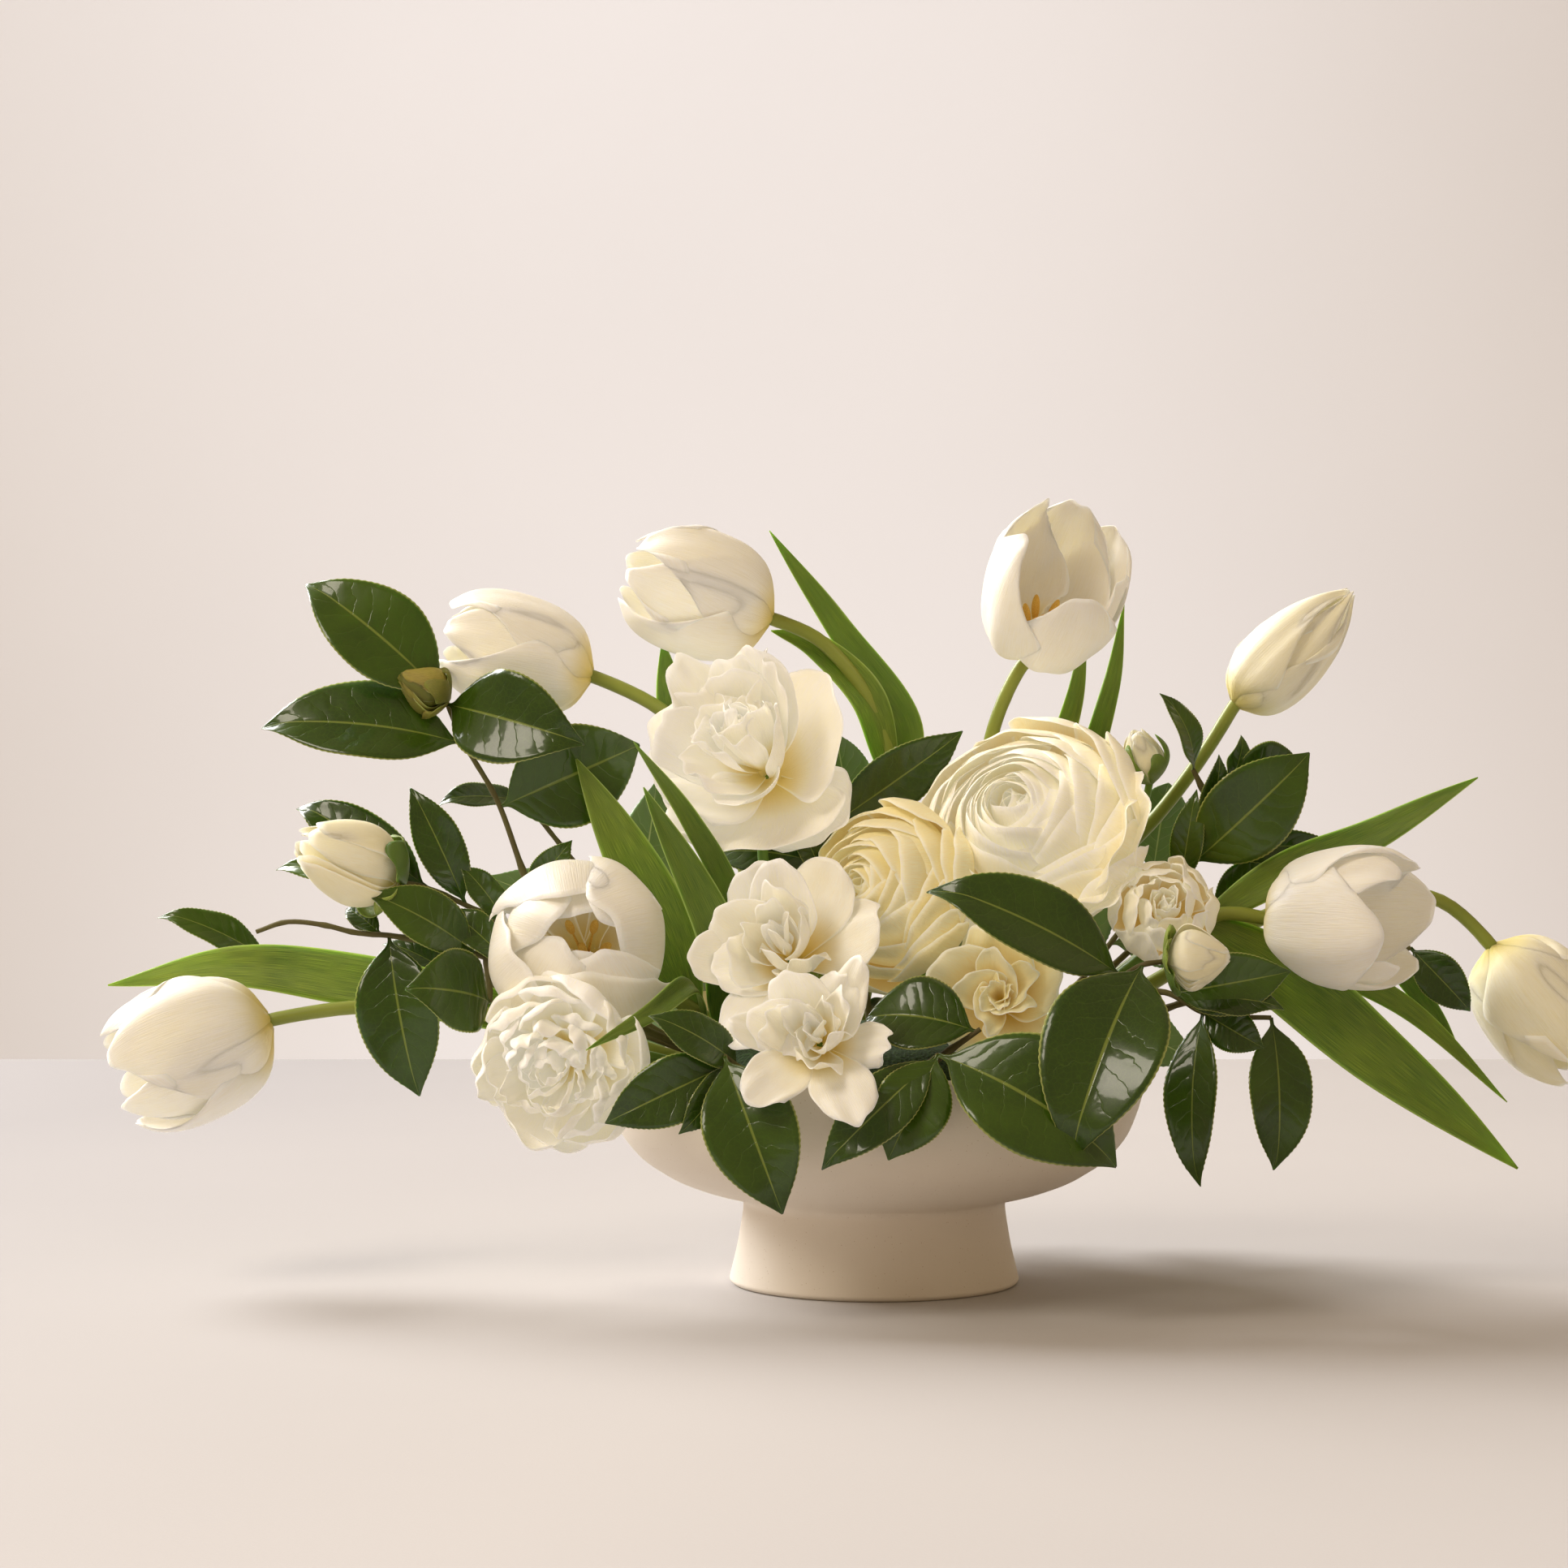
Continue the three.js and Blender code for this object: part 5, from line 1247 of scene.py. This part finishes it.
# Each row is a spray: its name, its foot in the foam, its twigs, and then its leaves. A leaf is its
# base on a twig, its tip, its width and its arch in millimetres, and its roll in degrees.
sprays = [
    [
        "front_left", [-34, -52, 86], [[[935, 1330, -84], [893, 1302, -104]]],
        [[905, 1306, -100], [743, 1385, -110], 25, 5, -12],
        [[893, 1302, -104], [965, 1499, -122], 35, 6, 5], [[915, 1312, -96], [800, 1250, -112], 18, 5, 10],
        [[910, 1310, -98], [838, 1398, -116], 15, 3, -25],
    ],
    [
        "front_right", [40, -42, 80],
        [[[1310, 1275, -66], [1372, 1215, -84], [1405, 1190, -94], [1438, 1184, -92]]],
        [[1410, 1188, -94], [1316, 1430, -130], 46, 10, 12],
        [[1385, 1205, -88], [1145, 1088, -102], 34, 6, 14],
        [[1360, 1228, -80], [1318, 1318, -84], 14, 3, -20],
    ],
    [
        "front_centre", [12, -58, 86],
        [[[1135, 1318, -90], [1156, 1300, -110]], [[1135, 1318, -90], [1208, 1268, -92]]],
        [[1156, 1300, -110], [1380, 1438, -120], 46, 11, -8],
        [[1152, 1304, -108], [1010, 1440, -121], 23, 3, 0],
        [[1156, 1301, -110], [1094, 1430, -114], 28, 2, 0],
        [[1205, 1270, -92], [1062, 1255, -78], 34, 5, 20],
    ],
    [
        "right_low", [56, -26, 86],
        [[[1350, 1255, -45], [1430, 1222, -58], [1490, 1250, -60], [1566, 1254, -58]]],
        [[1440, 1225, -58], [1592, 1197, -70], 24, 4, 18],
        [[1455, 1232, -59], [1583, 1241, -74], 18, 3, -15],
        [[1485, 1248, -60], [1558, 1292, -70], 17, 3, 20],
        [[1480, 1246, -60], [1475, 1465, -74], 22, 7, 30],
        [[1566, 1254, -58], [1572, 1445, -64], 26, 6, -12],
    ],
    [
        "left_low", [-58, -14, 88],
        [
            [
                [720, 1236, -26], [600, 1180, -30], [490, 1154, -24], [437, 1149, -22],
                [400, 1140, -22], [353, 1136, -20], [316, 1148, -18],
            ],
            [[600, 1180, -30], [604, 1235, -32]],
        ],
        [[590, 1176, -30], [453, 1100, -46], 24, 4, 15], [[625, 1190, -30], [545, 1118, -24], 16, 3, 20],
        [[484, 1142, -24], [516, 1353, -30], 33, 6, 10], [[604, 1235, -32], [501, 1217, -62], 34, 5, 0],
        [[470, 1141, -24], [425, 1118, -10], 10, 2, 10],
    ],
    [
        "left_high", [-54, -6, 86],
        [[[700, 1182, -12], [600, 1128, -15], [520, 1092, -20], [492, 1088, -28]]],
        [[530, 1096, -19], [362, 986, -2], 24, 3, 12], [[575, 1115, -17], [505, 968, -18], 19, 4, 5],
        [[620, 1138, -14], [567, 1066, -20], 14, 3, 20], [[540, 1100, -19], [335, 1065, 8], 16, 3, 15],
        [[610, 1133, -14], [560, 1165, -8], 12, 3, 10],
    ],
    [
        "upper_left", [-44, 14, 76],
        [[[730, 1215, 0], [660, 1110, -4], [612, 985, 0], [570, 912, 2], [548, 860, 4]]],
        [[548, 860, 4], [375, 715, 10], 38, 6, 8], [[569, 915, 2], [320, 892, -4], 38, 6, 18],
        [[553, 872, 4], [718, 915, -28], 38, 6, 14], [[618, 1000, 0], [792, 916, 6], 41, 6, 20],
        [[652, 1092, -4], [705, 1035, -12], 13, 3, 15],
    ],
    [
        "right_high", [46, 6, 76],
        [
            [[1340, 1220, 0], [1440, 1120, -4], [1470, 1060, -6], [1500, 1000, -6], [1516, 962, -6]],
            [[1497, 1005, -6], [1470, 948, -8]], [[1440, 1120, -4], [1510, 1120, -2]],
        ],
        [[1468, 1064, -6], [1616, 926, -16], 35, 7, 15], [[1516, 962, -6], [1602, 940, 2], 24, 4, 20],
        [[1470, 948, -8], [1430, 853, -16], 14, 5, 30], [[1514, 966, -6], [1532, 905, -8], 10, 2, 30],
        [[1484, 1030, -6], [1504, 930, -18], 12, 3, 10], [[1452, 1096, -5], [1474, 972, -14], 13, 3, -10],
        [[1478, 1046, -6], [1654, 1042, 8], 14, 3, 20], [[1490, 1120, -2], [1572, 1060, 2], 18, 3, 15],
    ],
    [
        "far_left", [-60, 18, 86], [[[640, 1222, 22], [500, 1198, 28], [335, 1187, 26]]],
        [[335, 1187, 26], [195, 1123, 14], 17, 4, 25], [[560, 1208, 26], [470, 1160, 34], 13, 3, 20],
    ],
    [
        "far_right", [62, 4, 88], [[[1430, 1245, 4], [1600, 1190, 6], [1738, 1168, 6]]],
        [[1738, 1168, 6], [1813, 1247, 0], 18, 3, 15], [[1640, 1184, 6], [1700, 1140, 14], 14, 3, 20],
    ],
    [
        "centre_back", [2, 16, 66], [[[1060, 1190, 16], [1012, 1080, 14], [1022, 1018, 10]]],
        [[1022, 1018, 10], [1189, 900, 2], 24, 5, 20], [[1016, 1050, 12], [1140, 908, 22], 19, 4, 10],
        [[1012, 1080, 14], [980, 1010, 8], 12, 3, 10], [[1014, 1068, 13], [872, 1052, 16], 26, 5, 15],
        [[1012, 1088, 14], [900, 1120, 10], 24, 4, -5], [[1014, 1096, 14], [1086, 1030, 24], 22, 4, 10],
    ],
    [
        "back_left", [-34, 46, 82], [[[830, 1230, 76], [760, 1130, 84], [650, 990, 42]]],
        [[650, 990, 42], [537, 987, 34], 15, 3, 30], [[760, 1130, 84], [600, 1080, 92], 29, 5, 180],
        [[780, 1160, 82], [810, 960, 92], 29, 6, 180], [[830, 1230, 76], [690, 1290, 104], 29, 6, 180],
        [[810, 1205, 78], [900, 1400, 126], 29, 6, 180], [[835, 1232, 74], [948, 1238, 42], 25, 5, -65],
    ],
    [
        "back_centre", [4, 56, 82],
        [
            [[1065, 1240, 88], [1065, 1130, 100], [1060, 1060, 92]],
            [[1065, 1240, 88], [1072, 1262, 116]],
        ],
        [[1060, 1060, 92], [1030, 900, 64], 27, 4, 180], [[1062, 1100, 98], [1190, 980, 92], 29, 5, 180],
        [[1072, 1262, 116], [1010, 1440, 128], 29, 4, 180],
        [[1070, 1256, 108], [1200, 1410, 126], 29, 5, 180], [[1066, 1244, 84], [968, 1234, 48], 27, 5, 65],
        [[1066, 1244, 80], [1172, 1238, 44], 27, 5, -65],
    ],
    [
        "back_right", [36, 48, 82], [[[1290, 1250, 76], [1370, 1160, 80], [1420, 1080, 60]]],
        [[1420, 1080, 60], [1440, 960, 40], 24, 4, 180], [[1370, 1160, 80], [1530, 1130, 80], 29, 5, 180],
        [[1340, 1195, 79], [1330, 1010, 88], 29, 6, 180], [[1290, 1250, 76], [1330, 1430, 118], 29, 6, 180],
        [[1320, 1215, 78], [1480, 1310, 96], 29, 5, 180], [[1290, 1250, 76], [1192, 1236, 26], 25, 5, 65],
    ],
]


def camellia_blade(leaf, lines, rng):
    """One leathery leaf: its base on the twig, its tip, its width, its arch and its roll."""
    base, tip, width, arch, roll = leaf
    seat = min(
        (nearest(line, spot(base)) for line in lines), key=lambda p: np.linalg.norm(p - spot(base)),
    )
    end = spot(tip)
    face = facing(end - seat, roll)
    middle = (seat + end) / 2 + 2 * arch * mm * face
    rows = 2 * teeth_along + 1
    t = np.linspace(0, 1, rows)[:, None]
    rib = (1 - t) ** 2 * seat + 2 * t * (1 - t) * middle + t * t * end
    normal, side = beside(rib, face)
    length = np.linalg.norm(end - seat)
    droop = rng.uniform(0.02, 0.1) * length * np.clip((t - 0.8) / 0.2, 0, 1) ** 2
    rib = rib - normal * droop
    v = np.linspace(-1, 1, 13)[None, :]
    half = curve(camellia_outline, t) * width * mm / 2
    half = np.maximum(half, leaf_base_radius * (1 - t))
    sawn = tooth_depth * (np.arange(rows)[:, None] % 2) * (half > 0.15 * width * mm)
    half = half + sawn * np.abs(v) ** 6
    sway = rng.uniform(0.5, 1.3) * mm * np.sin(t * rng.uniform(9, 14) + rng.uniform(0, 6) + v) * v**2
    lift = 0.22 * np.sqrt(v**2 + 0.01) * half * rng.uniform(0.7, 1.3)
    lift = lift + sway * half / (width * mm / 2) + rng.uniform(-0.06, 0.06) * v * half
    return rib[:, None] + side[:, None] * (v * half)[..., None] + normal[:, None] * lift[..., None]


def leathery_leaf():
    """Waxed leather: the cuticle is a clear coat, the veins are sunken and paler, and the flesh
    between them stands up in soft quilts about 5 mm long. A fine net, 2.4 mm wide, lies over it."""
    material, tree = bare_material("camellia_leaf_cuticle")
    _, lengthwise, aside = sheet_places(tree)
    place = add(tree, "ShaderNodeTexCoord").outputs["Object"]
    tone = add(tree, "ShaderNodeAttribute", attribute_name="tone").outputs["Fac"]
    upper = add(tree, "ShaderNodeAttribute", attribute_name="side").outputs["Fac"]
    away = add(tree, "ShaderNodeMath", (aside, 2), operation="MULTIPLY")
    wander = add(tree, "ShaderNodeTexNoise", {"Vector": place, "Scale": 0.12 / mm, "Detail": 2})
    slanted = add(tree, "ShaderNodeMath", (away, -0.16, lengthwise), operation="MULTIPLY_ADD")
    along = add(tree, "ShaderNodeMath", (wander, 0.12, slanted), operation="MULTIPLY_ADD")
    turns = (along, math.pi * 9, -0.06 * math.pi * 9)
    phase = add(tree, "ShaderNodeMath", turns, operation="MULTIPLY_ADD")
    swing = add(tree, "ShaderNodeMath", (phase,), operation="SINE")
    wave = add(tree, "ShaderNodeMath", (swing,), operation="ABSOLUTE")
    smooth = {"interpolation_type": "SMOOTHSTEP"}
    inner = add(tree, "ShaderNodeMapRange", (away, 0.95, 0.5), **smooth)
    side_veins = add(tree, "ShaderNodeMapRange", (wave, 0.1, 0, 0, inner), **smooth)
    midrib = add(tree, "ShaderNodeMapRange", (away, 0.04, 0.015), **smooth)
    rim = add(tree, "ShaderNodeMapRange", (away, 0.95, 1, 0, 0.8), **smooth)
    net = add(
        tree, "ShaderNodeTexVoronoi", {"Vector": place, "Scale": 0.42 / mm}, feature="DISTANCE_TO_EDGE",
    )
    netting = add(tree, "ShaderNodeMapRange", (net, 0.09, 0, 0, 0.3), **smooth)
    cloud = add(tree, "ShaderNodeTexNoise", {"Vector": place, "Scale": 0.045 / mm, "Detail": 3})
    patch = add(tree, "ShaderNodeMath", (cloud, tone), operation="MULTIPLY")
    veined = add(tree, "ShaderNodeMath", (side_veins, 0.18), operation="MULTIPLY")
    ribbed = add(tree, "ShaderNodeMath", (midrib, 0.7), operation="MULTIPLY")
    flesh = linear("#20360a")
    for share, tint in (
        (patch, "#52700f"), (netting, "#446212"), (veined, "#66822a"), (ribbed, "#879540"),
        (rim, "#b3b768"),
    ):
        flesh = add(tree, "ShaderNodeMix", (share, flesh, linear(tint)), data_type="RGBA")
    faint = add(tree, "ShaderNodeMath", (side_veins, 0.4), operation="MULTIPLY")
    pale = add(tree, "ShaderNodeMath", (midrib, faint), operation="MAXIMUM")
    below = add(tree, "ShaderNodeMix", (pale, linear("#6b8650"), linear("#a9b77e")), data_type="RGBA")
    colour = add(tree, "ShaderNodeMix", (upper, below, flesh), data_type="RGBA")
    sunken = add(tree, "ShaderNodeMath", (side_veins, 0.6, midrib), operation="MULTIPLY_ADD")
    raised = add(tree, "ShaderNodeMath", (wave, sunken), operation="SUBTRACT")
    quilt = add(tree, "ShaderNodeMath", (raised, 0.5), operation="MULTIPLY")
    relief = add(tree, "ShaderNodeMath", (wander, 0.9, quilt), operation="MULTIPLY_ADD")
    rough = add(tree, "ShaderNodeMath", (upper, -0.3, 0.6), operation="MULTIPLY_ADD")
    finish = {
        "Roughness": rough, "IOR": 1.45, "Specular IOR Level": 0.3, "Subsurface Weight": 0.12,
        "Subsurface Radius": (0.5, 1.0, 0.1), "Subsurface Scale": 1.5 * mm, "Coat Weight": 0.5,
        "Coat Roughness": 0.08,
    }
    return coated(material, colour, relief, 0.4, 0.5 * mm, finish)


def twig_bark():
    """Young bark: brown over green in patches 17 mm apart, dull, with fine cracks and pores."""
    patches = ("ShaderNodeTexNoise", {"Scale": 0.06 / mm, "Detail": 4})
    grain = ("ShaderNodeTexNoise", {"Scale": 1.4 / mm, "Detail": 3})
    tones = ("#4b3a22", "#6b6a35")
    return grainy(
        "camellia_twig_bark", patches, tones, grain, 0.6, 0.3 * mm, {"Roughness": 0.75},
    )


twig_radius = 1.7 * mm
twig_points = 48
side_twig_points = 16
leaf_thickness = 0.55 * mm
cuticle = leathery_leaf()
bark = twig_bark()
spray_seed = 500
for seed, (title, foot, (first, *others), *blades) in enumerate(sprays):
    rng = np.random.default_rng(spray_seed + seed)
    name = "camellia_spray_" + title
    lines = [route([np.array(foot) * mm, *map(spot, first)], twig_points)]
    for twig in others:
        fork = nearest(lines[0], spot(twig[0]))
        lines.append(route([fork, *map(spot, twig[1:])], side_twig_points))
    twigs = stalk(name + "_twigs", lines, twig_radius, bark, 0.55, 0.35)
    leaves = Sheets()
    for leaf in blades:
        leaves.add(camellia_blade(leaf, lines, rng), leaf_thickness, rng.uniform(0.35, 0.9))
    leaves = leaves.piece(name + "_leaves", cuticle)
    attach(leaves, "root")
    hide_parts(name)

bud_scale_green = juicy_green("camellia_bud_scale", "#aba04a", "#626a26", 0.6)
green_bud_rings = bud_rings(0.1) + scale_rings(0.6)
green_bud_seed = 560
green_scale_thickness = 0.6 * mm
scales = bloom(green_bud, green_bud_rings, green_bud_seed, green_scale_thickness, stray=0.02)
scales = scales.piece("camellia_green_bud", bud_scale_green)
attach(scales, "root")


# Sizes. A box, as its corners, written as plain lists of rounded numbers.
def plain(box):
    """A box as plain lists of rounded numbers."""
    return [[round(value, 5) for value in corner] for corner in box]
